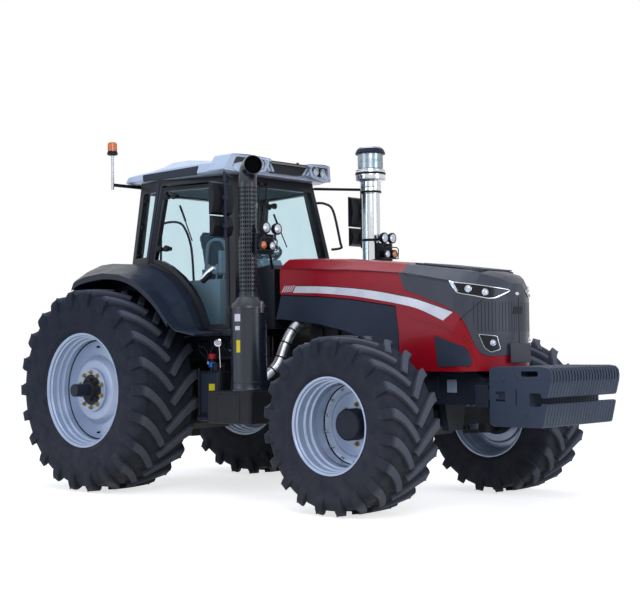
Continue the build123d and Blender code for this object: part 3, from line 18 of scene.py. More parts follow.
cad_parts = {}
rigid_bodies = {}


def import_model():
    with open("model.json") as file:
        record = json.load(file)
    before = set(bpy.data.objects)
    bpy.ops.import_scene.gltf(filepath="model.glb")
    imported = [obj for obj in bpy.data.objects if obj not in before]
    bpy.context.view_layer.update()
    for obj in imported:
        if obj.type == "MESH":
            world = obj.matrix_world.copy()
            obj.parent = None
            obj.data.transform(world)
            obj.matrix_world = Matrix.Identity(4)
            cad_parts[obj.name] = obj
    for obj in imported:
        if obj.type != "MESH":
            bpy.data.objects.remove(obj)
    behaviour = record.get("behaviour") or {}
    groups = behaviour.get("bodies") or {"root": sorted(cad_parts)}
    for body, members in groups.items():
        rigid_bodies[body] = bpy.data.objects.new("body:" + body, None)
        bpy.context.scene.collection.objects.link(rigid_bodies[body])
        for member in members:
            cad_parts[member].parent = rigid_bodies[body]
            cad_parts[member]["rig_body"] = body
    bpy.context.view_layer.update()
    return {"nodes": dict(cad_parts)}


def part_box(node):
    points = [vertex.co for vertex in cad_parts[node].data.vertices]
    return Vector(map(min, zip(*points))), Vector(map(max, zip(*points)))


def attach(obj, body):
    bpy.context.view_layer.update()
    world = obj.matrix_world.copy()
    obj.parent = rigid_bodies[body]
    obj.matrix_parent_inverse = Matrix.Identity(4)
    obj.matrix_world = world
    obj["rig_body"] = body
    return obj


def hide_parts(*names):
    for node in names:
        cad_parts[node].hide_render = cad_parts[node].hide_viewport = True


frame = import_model()
LOG = logging.getLogger("tractor")

Flat = tuple[float, float]
Spot = tuple[float, float, float]
Socket = bpy.types.NodeSocket
SIDES = (("right", -1.0), ("left", 1.0))
AHEAD, ACROSS, UP = Vector((1, 0, 0)), Vector((0, 1, 0)), Vector((0, 0, 1))
STILL = (0.0, 0.0, 0.0)
MM = 0.001


def middle(node: str) -> Vector:
    """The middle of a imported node's box."""
    low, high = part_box(node)
    return (low + high) / 2


REAR_AXLE = middle("rear_hub_right")


def at(x: float, y: float, z: float) -> Vector:
    """A place given ahead of the rear axle, to the left and above the ground."""
    return Vector((REAR_AXLE.x + x, y, z))


# ---- Node trees --------------------------------------------------------------


def add_node(tree: bpy.types.NodeTree, kind: str, inputs: dict | None = None, **settings) -> bpy.types.Node:
    """Add a node, with its settings and its inputs.

    Args:
        tree: the tree that gets the node.
        kind: the node's type name.
        inputs: a socket's name or number, and its value or the output that feeds it.
        settings: the node's own fields.

    Returns:
        The new node.
    """
    node = tree.nodes.new(kind)
    for field, value in settings.items():
        setattr(node, field, value)
    for key, value in (inputs or {}).items():
        if isinstance(value, Socket):
            tree.links.new(value, node.inputs[key])
        else:
            node.inputs[key].default_value = value
    return node


def source(tree: bpy.types.NodeTree, kind: str, inputs: dict | None = None, **settings) -> Socket:
    """Add a node as add_node does, and return its first output."""
    return add_node(tree, kind, inputs, **settings).outputs[0]


def mixed(tree: bpy.types.NodeTree, share: Socket, first: Socket | tuple, second: Socket | tuple) -> Socket:
    """A colour between two, by a share from 0 to 1."""
    return add_node(tree, "ShaderNodeMix", {0: share, 6: first, 7: second}, data_type="RGBA").outputs[2]


def combined(tree: bpy.types.NodeTree, operation: str, first: Socket, second: Socket | float) -> Socket:
    """One sum on two values."""
    return source(tree, "ShaderNodeMath", {0: first, 1: second}, operation=operation)


def ranged(tree: bpy.types.NodeTree, value: Socket, given: Flat, wanted: Flat) -> Socket:
    """A value carried from one range to another."""
    return source(tree, "ShaderNodeMapRange", {
        "Value": value, "From Min": given[0], "From Max": given[1], "To Min": wanted[0], "To Max": wanted[1],
    })


def emptied(owner: bpy.types.Material | bpy.types.World) -> bpy.types.NodeTree:
    """Empty the node tree of a material or a world.

    Args:
        owner: the material or the world.

    Returns:
        Its tree.
    """
    owner.use_nodes = True
    owner.node_tree.nodes.clear()
    return owner.node_tree


def linear(code: str) -> tuple[float, float, float, float]:
    """An sRGB hex colour as linear red, green, blue and alpha.

    Args:
        code: six hex digits.

    Returns:
        The colour for a shader socket.
    """
    channels = (int(code[i:i + 2], 16) / 255 for i in (0, 2, 4))
    return (*(c / 12.92 if c <= 0.04045 else ((c + 0.055) / 1.055) ** 2.4 for c in channels), 1.0)


class Grain(Enum):
    """How a surface is broken up close to."""

    MOULDED = "fine noise of moulded plastic or paint"
    CAST = "pitted skin of a sand casting"
    MESH = "perforated sheet"
    WEAVE = "woven cloth"
    BRUSHED = "fine lines round a rolled pipe"
    RUBBER = "dull rubber with pale worn tops"


@dataclass(frozen=True)
class Finish:
    """A finish: what the surface is, its colours and its grain.

    Attributes:
        name: the material's name.
        slot: the record's slot that it stands for.
        colour: main colour, in sRGB hex.
        shade: second colour, in clouds over the first.
        mottle_mm: size of the clouds.
        mottle: how strong they are, from 0 to 1.
        grain: how the surface is broken up.
        grain_mm: size of the grain.
        depth_mm: its relief.
        dust: how much dry dust lies on it, from 0 to 1.
    """

    name: str
    slot: str
    colour: str
    shade: str
    roughness: float = 0.5
    metallic: float = 0.0
    coat: float = 0.0
    specular: float = 0.22
    transmission: float = 0.0
    ior: float = 1.5
    mottle_mm: float = 300.0
    mottle: float = 0.6
    grain: Grain = Grain.MOULDED
    grain_mm: float = 2.0
    depth_mm: float = 0.1
    dust: float = 0.0

    # Bands that a wave texture lays over one unit of its scale.
    WAVES_PER_UNIT = 3.1
    WORN_RUBBER = "4a4e57"
    # Painted shade seen through a perforated sheet's holes, which are not cut.
    HOLE_SHADE = "0b0e13"
    DRY_DUST = "8d867c"

    def material(self) -> bpy.types.Material:
        """The finish as a Blender material, built once.

        Returns:
            The material.
        """
        found = bpy.data.materials.get(self.name)
        if found:
            return found
        made = bpy.data.materials.new(self.name)
        tree = emptied(made)
        place = add_node(tree, "ShaderNodeTexCoord").outputs["Object"]
        clouds = source(tree, "ShaderNodeTexNoise", {
            "Vector": place, "Scale": 1 / (self.mottle_mm * MM), "Detail": 4.0, "Roughness": 0.6,
        })
        spread = ranged(tree, clouds, (0.35, 0.68), (0.0, self.mottle))
        colour = mixed(tree, spread, linear(self.colour), linear(self.shade))
        height = self.height(tree, place)
        if self.grain is Grain.RUBBER:
            worn = add_node(tree, "ShaderNodeAttribute", attribute_name="wear").outputs["Fac"]
            colour = mixed(tree, worn, colour, linear(self.WORN_RUBBER))
        if self.grain is Grain.MESH:
            # The holes get painted shade.
            colour = mixed(tree, height, linear(self.HOLE_SHADE), colour)
        if self.dust:
            colour = mixed(tree, self.dusted(tree, place), colour, linear(self.DRY_DUST))
        bump = source(tree, "ShaderNodeBump", {
            "Height": height, "Distance": self.depth_mm * MM, "Strength": 1.0,
        })
        smooth, rough = max(self.roughness - 0.06, 0.02), min(self.roughness + 0.08, 1.0)
        shader = source(tree, "ShaderNodeBsdfPrincipled", {
            "Base Color": colour, "Roughness": ranged(tree, clouds, (0.3, 0.7), (smooth, rough)),
            "Normal": bump, "Metallic": self.metallic, "IOR": self.ior, "Coat Weight": self.coat,
            "Coat Roughness": 0.06, "Transmission Weight": self.transmission,
            "Specular IOR Level": 0.5 if self.metallic or self.transmission else self.specular,
        })
        add_node(tree, "ShaderNodeOutputMaterial", {"Surface": shader})
        return made

    def height(self, tree: bpy.types.NodeTree, place: Socket) -> Socket:
        """The relief of the grain, from 0 to 1.

        Args:
            tree: the material's tree.
            place: the object coordinates.

        Returns:
            The output that holds the height.
        """
        scale = 1 / (self.grain_mm * MM)
        if self.grain is Grain.CAST:
            return source(tree, "ShaderNodeTexVoronoi", {"Vector": place, "Scale": scale})
        if self.grain in (Grain.MESH, Grain.WEAVE):
            waves = [
                add_node(
                    tree, "ShaderNodeTexWave",
                    {"Vector": place, "Scale": scale / self.WAVES_PER_UNIT, "Distortion": 0.0},
                    bands_direction=way, wave_profile="SIN",
                ).outputs["Fac"]
                for way in ("X", "Z")
            ]
            return combined(tree, "MAXIMUM" if self.grain is Grain.MESH else "MULTIPLY", *waves)
        if self.grain is Grain.BRUSHED:
            drawn = source(tree, "ShaderNodeMapping", {"Vector": place, "Scale": (0.03, 0.03, 1.0)})
            return source(tree, "ShaderNodeTexNoise", {"Vector": drawn, "Scale": scale})
        return source(tree, "ShaderNodeTexNoise", {"Vector": place, "Scale": scale, "Detail": 3.0})

    def dusted(self, tree: bpy.types.NodeTree, place: Socket) -> Socket:
        """How much dry dust lies in patches, more of it towards the ground.

        Args:
            tree: the material's tree.
            place: the object coordinates.

        Returns:
            The output that holds the share, from 0 to 1.
        """
        patches = source(tree, "ShaderNodeTexNoise", {"Vector": place, "Scale": 9.0, "Detail": 6.0})
        level = add_node(tree, "ShaderNodeSeparateXYZ", {"Vector": place}).outputs["Z"]
        low = ranged(tree, level, (1.9, 0.0), (0.25, 1.0))
        return combined(tree, "MULTIPLY", combined(tree, "MULTIPLY", patches, low), self.dust)


# Natural rubber, moulded and dull: blue-black flanks, greyer where the lugs have run.
TREAD_RUBBER = Finish("tread_rubber", "tyre_rubber", "181f2e", "121926", 0.75, specular=0.12,
                      grain=Grain.RUBBER, grain_mm=5, depth_mm=0.5, dust=0.22, mottle_mm=160)
# Baked enamel on pressed steel: pale, cool silver with a soft sheen.
RIM_ENAMEL = Finish("rim_enamel", "rim_silver", "a9b6c9", "98a6bb", 0.36, 0.3, 0.2, mottle_mm=220,
                    grain_mm=1.5, depth_mm=0.03)
# Grey iron, sand cast and painted black: pitted and half dull.
CAST_IRON = Finish("painted_cast_iron", "cast_black", "11171f", "0c1117", 0.5, specular=0.15,
                   grain=Grain.CAST, grain_mm=6, depth_mm=0.35, dust=0.2)
# Rolled steel plate in slate powder coat: even, with a faint orange peel.
FRAME_COAT = Finish("slate_powder_coat", "frame_slate", "16202f", "101825", 0.45, specular=0.15, grain_mm=3,
                    depth_mm=0.12, dust=0.12)
# Cast ballast in slate paint: matt, with a coarse skin.
BALLAST_COAT = Finish("ballast_paint", "weight_slate", "2e3949", "27313f", 0.5, grain=Grain.CAST, grain_mm=7,
                      depth_mm=0.25, dust=0.05, mottle_mm=420)
# Two-coat automotive enamel: deep crimson under clear lacquer.
HOOD_ENAMEL = Finish("crimson_enamel", "hood_red", "95091b", "800818", 0.34, coat=0.1, specular=0.15,
                     mottle_mm=700, grain_mm=1.2, depth_mm=0.02)
# Moulded ABS with a satin grain: the grey mask of the nose.
NOSE_ABS = Finish("nose_abs", "nose_grey", "3c3f47", "353840", 0.42, coat=0.08, grain_mm=2.5, depth_mm=0.06)
# Perforated steel sheet, drawn coarser than its 6 mm holes so that it shows; the holes are painted shade, not
# cut.
MESH_SHEET = Finish("perforated_sheet", "panel_mesh", "2f3849", "283040", 0.55, grain=Grain.MESH, grain_mm=9,
                    depth_mm=1.0)
# Glass-filled nylon: black, moulded and fairly dull.
BLACK_NYLON = Finish("black_nylon", "black_plastic", "10141b", "0b0e14", 0.45, specular=0.18, grain_mm=1.6,
                     depth_mm=0.08, dust=0.06)
# Heat-proof satin enamel on a rolled drum.
STACK_ENAMEL = Finish("stack_enamel", "exhaust_black", "141b27", "0f1520", 0.28, specular=0.5, grain_mm=3,
                      depth_mm=0.04, mottle_mm=500)
# Soft grey moulding inside the cab.
CABIN_TRIM = Finish("cabin_trim", "black_plastic", "7d8d99", "6d7c88", 0.6, depth_mm=0.08)
# Bare rolled tube, drawn bright and lightly stained.
BARE_TUBE = Finish("bright_tube", "bare_pipe", "b9babd", "8d8f96", 0.3, 0.9, grain=Grain.BRUSHED, grain_mm=1,
                   depth_mm=0.05, mottle_mm=60)
# Soot inside the exhaust, and painted shade in the dark gaps behind grilles and in the rims' inner corners:
# dead black.
SOOT_AND_SHADE = Finish("soot", "exhaust_black", "040506", "020303", 0.9, specular=0.05, grain_mm=4, depth_mm=0.2)
# Reflector and lens seen together: bright, but not white.
LAMP_CORE = Finish("lamp_core", "lamp_clear", "c3cad2", "a3abb5", 0.2, 0.4, coat=0.6, grain_mm=6,
                   depth_mm=0.6)
# Chromium plate over polished tube.
CHROME = Finish("chrome_plate", "intake_chrome", "d3d6da", "bfc3c9", 0.13, 1.0, grain_mm=1, depth_mm=0.01)
# Satin black body paint on the cab's pressed posts.
CAB_PAINT = Finish("cab_paint", "cab_black", "12161e", "0d1016", 0.36, coat=0.1, depth_mm=0.04, dust=0.04)
# Gel-coated moulding: the bluish-white roof.
ROOF_GEL = Finish("roof_gelcoat", "roof_white", "bfccda", "b0bdcd", 0.34, coat=0.4, mottle_mm=900,
                  depth_mm=0.03)
# Tinted safety glass.
CAB_GLASS = Finish("tinted_glass", "glass_tint", "e2eff3", "d9eaf0", 0.02, transmission=1.0, ior=1.1,
                   depth_mm=0.0)
# Moulded fender plastic in dark blue-grey.
FENDER_ABS = Finish("fender_abs", "fender_slate", "162233", "111b29", 0.42, coat=0.1, grain_mm=2.5,
                    depth_mm=0.08, dust=0.1)
# Woven seat cloth, drawn coarser than its 2 mm thread so that it shows.
SEAT_CLOTH = Finish("seat_cloth", "seat_fabric", "4c5b66", "3a4751", 0.9, grain=Grain.WEAVE, grain_mm=5,
                    depth_mm=0.6)
# Ribbed amber polycarbonate.
AMBER_LENS = Finish("amber_lens", "beacon_amber", "f07d12", "e06406", 0.16, coat=0.6, transmission=0.25,
                    grain_mm=6, depth_mm=0.4)
# Forged steel, painted black.
LINK_PAINT = Finish("linkage_paint", "link_steel", "151920", "0f1217", 0.45, grain_mm=3, dust=0.15)
# Ground shaft steel.
SHAFT_STEEL = Finish("ground_steel", "shaft_steel", "a8a9ab", "8e9094", 0.25, 1.0, grain=Grain.BRUSHED,
                     grain_mm=1, depth_mm=0.03)
# Zinc-plated fasteners with their yellow passivation.
ZINC_YELLOW = Finish("yellow_zinc", "shaft_steel", "a2936a", "857752", 0.35, 0.9, depth_mm=0.05)
# Silver foil stripe, flat and bright.
STRIPE_FOIL = Finish("stripe_foil", "rim_silver", "dadada", "b3b6be", 0.3, 0.15, mottle_mm=420, mottle=0.9,
                     grain_mm=1, depth_mm=0.0)
# Smoked gloss plastic behind the lamps.
SMOKED_GLOSS = Finish("smoked_gloss", "black_plastic", "0c1017", "080b10", 0.15, coat=0.15, specular=0.2,
                      grain_mm=3, depth_mm=0.0)
# Blank label stock.
YELLOW_LABEL = Finish("yellow_label", "roof_white", "d8c51e", "cbb81a", 0.45, depth_mm=0.0)
WHITE_LABEL = Finish("white_label", "roof_white", "d9d4d6", "cfc9cc", 0.5, depth_mm=0.0)
# Moulded filler caps.
BLUE_CAP = Finish("blue_cap", "black_plastic", "1f63b8", "1a549e", 0.35, depth_mm=0.05)
RED_CAP = Finish("red_cap", "black_plastic", "b8232c", "9c1d25", 0.35, depth_mm=0.05)


# ---- Shapes --------------------------------------------------------------------


def smooth_path(points: Sequence[Sequence[float]], steps: int) -> list[Vector]:
    """A curve through points, as a Catmull-Rom spline.

    Args:
        points: the points to pass through, in two or three dimensions.
        steps: pieces between two points.

    Returns:
        The points along the curve, both ends included.
    """
    nodes = [Vector(p) for p in points]
    path = []
    for i in range(len(nodes) - 1):
        before, start = nodes[max(i - 1, 0)], nodes[i]
        end, after = nodes[i + 1], nodes[min(i + 2, len(nodes) - 1)]
        for k in range(steps):
            t = k / steps
            path.append(0.5 * (2 * start + (end - before) * t
                               + (2 * before - 5 * start + 4 * end - after) * t * t
                               + (3 * start - before - 3 * end + after) * t ** 3))
    path.append(nodes[-1])
    return path


def rounded(outline: Sequence[Flat], radius: float, steps: int = 4) -> list[Flat]:
    """A closed outline with its corners rounded.

    Args:
        outline: the corners, in order.
        radius: how far from each corner the rounding starts, at most.
        steps: pieces in each corner.

    Returns:
        The rounded outline.
    """
    corners = [Vector(p) for p in outline]
    path: list[Flat] = []
    for i, corner in enumerate(corners):
        back, on = corners[i - 1] - corner, corners[(i + 1) % len(corners)] - corner
        reach = min(radius, back.length * 0.45, on.length * 0.45)
        start, end = corner + back.normalized() * reach, corner + on.normalized() * reach
        for k in range(steps + 1):
            t = k / steps
            path.append(tuple(start * (1 - t) ** 2 + corner * 2 * t * (1 - t) + end * t * t))
    return path


def shrunk(outline: Sequence[Flat], wide: float, tall: float) -> list[Flat]:
    """An outline drawn in towards its middle.

    Args:
        outline: the outline.
        wide: share of its length that is kept.
        tall: share of its height that is kept.

    Returns:
        The smaller outline.
    """
    mid_u, mid_v = (sum(values) / len(outline) for values in zip(*outline))
    return [(mid_u + (u - mid_u) * wide, mid_v + (v - mid_v) * tall) for u, v in outline]


def walled(path: Sequence[Flat], thickness: float) -> list[Flat]:
    """A closed section made from an open path and its copy to the right of it.

    Args:
        path: points of the path.
        thickness: distance to the copy.

    Returns:
        The closed outline.
    """
    points = [Vector(p) for p in path]
    copy = []
    for i, point in enumerate(points):
        run = points[min(i + 1, len(points) - 1)] - points[max(i - 1, 0)]
        copy.append(point + Vector((run.y, -run.x)).normalized() * thickness)
    return [tuple(p) for p in points] + [tuple(p) for p in reversed(copy)]


def hoop(low: float, high: float, inner: float, outer: float) -> list[Flat]:
    """The section of a plain hoop, (along, out), to be spun about its axis."""
    return [(low, inner), (low, outer), (high, outer), (high, inner)]


def lengthwise(u: float, v: float, y: float) -> Vector:
    """A place on a plate that runs lengthwise: ahead, up, and across."""
    return at(u, y, v)


def crosswise(u: float, v: float, x: float) -> Vector:
    """A place on a plate that stands crosswise: across, up, and ahead."""
    return at(x, u, v)


def ring(centre: Vector, side: Vector, up: Vector, radius: float, count: int) -> list[Vector]:
    """A circle of points round a centre, in the plane of two directions."""
    turns = (2 * math.pi * k / count for k in range(count))
    return [centre + side * (math.cos(a) * radius) + up * (math.sin(a) * radius) for a in turns]


class Shape:
    """Points and faces in the making; each face knows which finish it has."""

    # Points this close become one, and edges sharper than this are cut.
    WELD = 2e-5
    SHARP = math.radians(34)

    def __init__(self) -> None:
        """Start empty."""
        self.points: list[Vector] = []
        self.faces: list[tuple[int, ...]] = []
        self.slots: list[int] = []

    def add(self, points: Sequence, faces: Sequence[Sequence[int]], slot: int = 0) -> None:
        """Add points and faces.

        Args:
            points: the points.
            faces: each face's points, counted from the first one added.
            slot: number of the finish.
        """
        base = len(self.points)
        self.points += [Vector(p) for p in points]
        self.faces += [tuple(base + i for i in face) for face in faces]
        self.slots += [slot] * len(faces)

    def loft(self, rings: Sequence[Sequence], slot: int = 0, loop: bool = False) -> None:
        """Skin closed rings of equal length.

        Args:
            rings: the rings, in order.
            slot: number of the finish.
            loop: whether the last ring joins the first; if not, both ends are closed.
        """
        count, size = len(rings), len(rings[0])
        faces = []
        for r in range(count if loop else count - 1):
            here, there = r * size, (r + 1) % count * size
            for k in range(size):
                on = (k + 1) % size
                faces.append((here + k, here + on, there + on, there + k))
        if not loop:
            faces.append(tuple(reversed(range(size))))
            faces.append(tuple(range((count - 1) * size, count * size)))
        self.add([p for one in rings for p in one], faces, slot)

    def spin(
        self, profile: Sequence[Flat], centre: Vector, axis: Vector = UP, steps: int = 96, slot: int = 0
    ) -> None:
        """Turn a closed profile about an axis.

        Args:
            profile: its points, (along, out).
            centre: a point of the axis, where along is 0.
            axis: the axis, upwards if not given.
            steps: pieces in a turn.
            slot: number of the finish.
        """
        side = axis.orthogonal().normalized()
        up = axis.cross(side).normalized()
        rings = []
        for k in range(steps):
            turn = 2 * math.pi * k / steps
            out = side * math.cos(turn) + up * math.sin(turn)
            rings.append([centre + axis * along + out * radius for along, radius in profile])
        self.loft(rings, slot, loop=True)

    def prism(
        self, outline: Sequence[Flat], low: float, high: float,
        place: Callable[[float, float, float], Vector], holes: Sequence[Sequence[Flat]] = (), slot: int = 0,
    ) -> None:
        """Extrude an outline with holes between two levels.

        Args:
            outline: the outer loop.
            low: the first level.
            high: the second level.
            place: turns a flat place and a level into a point.
            holes: inner loops.
            slot: number of the finish.
        """
        loops = [list(outline), *map(list, holes)]
        flat = [p for one in loops for p in one]
        count = len(flat)
        if holes:
            caps = [tuple(t) for t in tessellate_polygon([[Vector((*p, 0)) for p in one] for one in loops])]
        else:
            caps = [tuple(range(count))]
        faces = caps + [tuple(i + count for i in reversed(cap)) for cap in caps]
        base = 0
        for one in loops:
            for k in range(len(one)):
                a, b = base + k, base + (k + 1) % len(one)
                faces.append((a, b, b + count, a + count))
            base += len(one)
        points = [place(u, v, level) for level in (low, high) for u, v in flat]
        self.add(points, faces, slot)

    def box(self, low: Vector, high: Vector, slot: int = 0) -> None:
        """A block between two corners."""
        outline = [(low.x, low.y), (high.x, low.y), (high.x, high.y), (low.x, high.y)]
        self.prism(outline, low.z, high.z, lambda u, v, level: Vector((u, v, level)), slot=slot)

    def tube(self, path: Sequence[Vector], radius: float, slot: int = 0, count: int = 14) -> None:
        """A round bar along a path, its ends closed.

        Args:
            path: points along its middle.
            radius: its radius.
            slot: number of the finish.
            count: points round it.
        """
        rings = []
        side = (path[1] - path[0]).orthogonal().normalized()
        for i, point in enumerate(path):
            run = (path[min(i + 1, len(path) - 1)] - path[max(i - 1, 0)]).normalized()
            side = (side - run * side.dot(run)).normalized()
            rings.append(ring(point, side, run.cross(side), radius, count))
        self.loft(rings, slot)

    def peg(
        self, spot: Vector, side: Vector, up: Vector, radius: float, rise: Vector, corners: int = 6
    ) -> None:
        """A straight peg with a regular section, from a spot along its rise."""
        foot = ring(spot, side, up, radius, corners)
        self.loft([foot, [p + rise for p in foot]])

    def mesh(self, name: str, bevel: float = 0.0, slivers: bool = False) -> bpy.types.Mesh:
        """The faces as a clean mesh, all turned outwards.

        Args:
            name: the mesh's name.
            bevel: width of the edges cut into the mesh itself.
            slivers: whether slivers are kept.

        Returns:
            The mesh.
        """
        mesh = bpy.data.meshes.new(name)
        mesh.from_pydata([tuple(p) for p in self.points], [], self.faces)
        for polygon, slot in zip(mesh.polygons, self.slots):
            polygon.material_index = slot
        work = bmesh.new()
        work.from_mesh(mesh)
        bmesh.ops.remove_doubles(work, verts=work.verts, dist=self.WELD)
        if not slivers:
            bmesh.ops.dissolve_degenerate(work, edges=work.edges, dist=1e-6)
        bmesh.ops.recalc_face_normals(work, faces=work.faces)
        if bevel:
            sharp = [e for e in work.edges if len(e.link_faces) == 2 and e.calc_face_angle() > self.SHARP]
            bmesh.ops.bevel(work, geom=sharp, offset=bevel, segments=1, affect="EDGES", clamp_overlap=True)
        work.to_mesh(mesh)
        work.free()
        return mesh

    def build(
        self, name: str, body: str, *finishes: Finish, bevel: float = 0.0, angle: float = 32.0,
        replaces: Sequence[str] = (),
    ) -> bpy.types.Object:
        """Make the piece; the arguments are those of dress."""
        piece = bpy.data.objects.new(name, self.mesh(name))
        return dress(piece, body, finishes, bevel, angle, replaces=replaces)

    def repeat(
        self, name: str, body: str, finish: Finish, count: int, shift: Spot = STILL, turn: Spot = STILL,
        centre: Sequence[float] = STILL, bevel: float = 0.0, wear: Callable[[Vector], float] | None = None,
        rows: tuple[int, Spot] | None = None, replaces: Sequence[str] = (),
    ) -> None:
        """Repeat the shape in steps and make the result one piece.

        Args:
            name: the piece's name.
            body: the body that it rides on.
            finish: its finish.
            count: number of copies.
            shift: step from copy to copy.
            turn: turn from copy to copy, in radians about each axis.
            centre: where the origin goes at the end.
            bevel: width of the cut edges of one copy.
            wear: how worn a point of one copy is, from 0 to 1.
            rows: how often the whole row is laid again, and the step from row to row.
            replaces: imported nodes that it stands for.
        """
        mesh = self.mesh(name, bevel, slivers=True)
        if wear:
            marks = mesh.attributes.new("wear", "FLOAT", "POINT")
            marks.data.foreach_set("value", [wear(v.co) for v in mesh.vertices])
        piece = linked(bpy.data.objects.new(name, mesh))
        repeats = [(count, shift, turn)] + ([(*rows, STILL)] if rows else [])
        for number, step, spin in repeats:
            modifier = piece.modifiers.new("repeat", "NODES")
            modifier.node_group = repeat_tree()
            values = {"Count": number, "Shift": step, "Turn": spin, "Finish": finish.material(),
                      "Centre": STILL if len(piece.modifiers) < len(repeats) else centre}
            for item in modifier.node_group.interface.items_tree:
                if item.in_out == "INPUT" and item.name in values:
                    value = values[item.name]
                    whole = isinstance(value, (int, bpy.types.Material))
                    modifier[item.identifier] = value if whole else tuple(map(float, value))
        settle(piece)
        dress(piece, body, [finish], replaces=replaces)


def repeat_tree() -> bpy.types.NodeTree:
    """Geometry Nodes, built once: copies of a mesh on a line, each turned a step further, then moved.

    Returns:
        The tree.
    """
    name = "repeat_in_steps"
    if name in bpy.data.node_groups:
        return bpy.data.node_groups[name]
    tree = bpy.data.node_groups.new(name, "GeometryNodeTree")
    for label, kind in (("Geometry", "Geometry"), ("Count", "Int"), ("Shift", "Vector"), ("Turn", "Vector"),
                        ("Centre", "Vector"), ("Finish", "Material")):
        tree.interface.new_socket(label, in_out="INPUT", socket_type=f"NodeSocket{kind}")
    tree.interface.new_socket("Geometry", in_out="OUTPUT", socket_type="NodeSocketGeometry")
    given = add_node(tree, "NodeGroupInput").outputs
    line = source(tree, "GeometryNodeMeshLine", {"Count": given["Count"], "Offset": given["Shift"]})
    index = source(tree, "GeometryNodeInputIndex")
    turned = source(
        tree, "ShaderNodeVectorMath", {"Vector": given["Turn"], "Scale": index}, operation="SCALE"
    )
    copies = source(tree, "GeometryNodeInstanceOnPoints", {
        "Points": line, "Instance": given["Geometry"], "Rotation": turned,
    })
    moved = source(tree, "GeometryNodeTransform", {"Geometry": copies, "Translation": given["Centre"]})
    real = source(tree, "GeometryNodeRealizeInstances", {"Geometry": moved})
    done = source(tree, "GeometryNodeSetMaterial", {"Geometry": real, "Material": given["Finish"]})
    add_node(tree, "NodeGroupOutput", {"Geometry": done})
    return tree


# ---- Pieces --------------------------------------------------------------------


def linked(thing: bpy.types.Object) -> bpy.types.Object:
    """Put an object in the scene, and return it."""
    bpy.context.scene.collection.objects.link(thing)
    return thing


def dress(
    piece: bpy.types.Object, body: str, finishes: Sequence[Finish], bevel: float = 0.0, angle: float = 32.0,
    subdivide: int = 0, replaces: Sequence[str] = (),
) -> bpy.types.Object:
    """Give a mesh its finishes, its edges and its body.

    Args:
        piece: an object that holds the mesh.
        body: the body that it rides on.
        finishes: the finishes that the faces count in.
        bevel: width of the rounded edges.
        angle: edges sharper than this stay sharp, in degrees.
        subdivide: levels of subdivision.
        replaces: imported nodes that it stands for.

    Returns:
        The same object.
    """
    if piece.name not in bpy.context.scene.objects:
        linked(piece)
    if piece.data.materials:
        piece.data.materials.clear()
    for finish in finishes:
        piece.data.materials.append(finish.material())
    piece.data.shade_smooth()
    if not subdivide:
        piece.data.set_sharp_from_angle(angle=math.radians(angle))
    if bevel:
        edge = piece.modifiers.new("edges", "BEVEL")
        edge.width = bevel
        edge.segments = 2
        edge.limit_method = "ANGLE"
        edge.angle_limit = math.radians(angle)
        edge.use_clamp_overlap = True
    if subdivide:
        soften = piece.modifiers.new("round", "SUBSURF")
        soften.levels = soften.render_levels = subdivide
    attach(piece, body)
    if replaces:
        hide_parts(*replaces)
    LOG.info("%s rides on %s", piece.name, body)
    return piece


def settle(piece: bpy.types.Object) -> None:
    """Turn a piece's modifiers into plain mesh.

    Args:
        piece: the piece.
    """
    graph = bpy.context.evaluated_depsgraph_get()
    mesh = bpy.data.meshes.new_from_object(
        piece.evaluated_get(graph), preserve_all_data_layers=True, depsgraph=graph
    )
    piece.modifiers.clear()
    piece.data = mesh


def softened(
    node: str, finish: Finish, bevel: float = 0.004, move: Callable[[Vector], None] | None = None
) -> None:
    """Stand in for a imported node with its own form, its edges broken.

    Args:
        node: the node's name.
        finish: its finish.
        bevel: width of the broken edges.
        move: shifts a point, where the form is trimmed.
    """
    original = frame["nodes"][node]
    mesh = original.data.copy()
    work = bmesh.new()
    work.from_mesh(mesh)
    if move:
        for vertex in work.verts:
            move(vertex.co)
    bmesh.ops.remove_doubles(work, verts=work.verts, dist=3e-5)
    bmesh.ops.dissolve_limit(
        work, angle_limit=math.radians(0.6), verts=work.verts, edges=work.edges, use_dissolve_boundaries=False
    )
    for face in work.faces:
        face.material_index = 0
    work.to_mesh(mesh)
    work.free()
    if mesh.has_custom_normals:
        mesh.attributes.remove(mesh.attributes["custom_normal"])
    piece = bpy.data.objects.new(f"{node}_form", mesh)
    dress(piece, original["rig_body"], [finish], bevel, 30.0, replaces=[node])


# ---- Wheels ----------------------------------------------------------------------


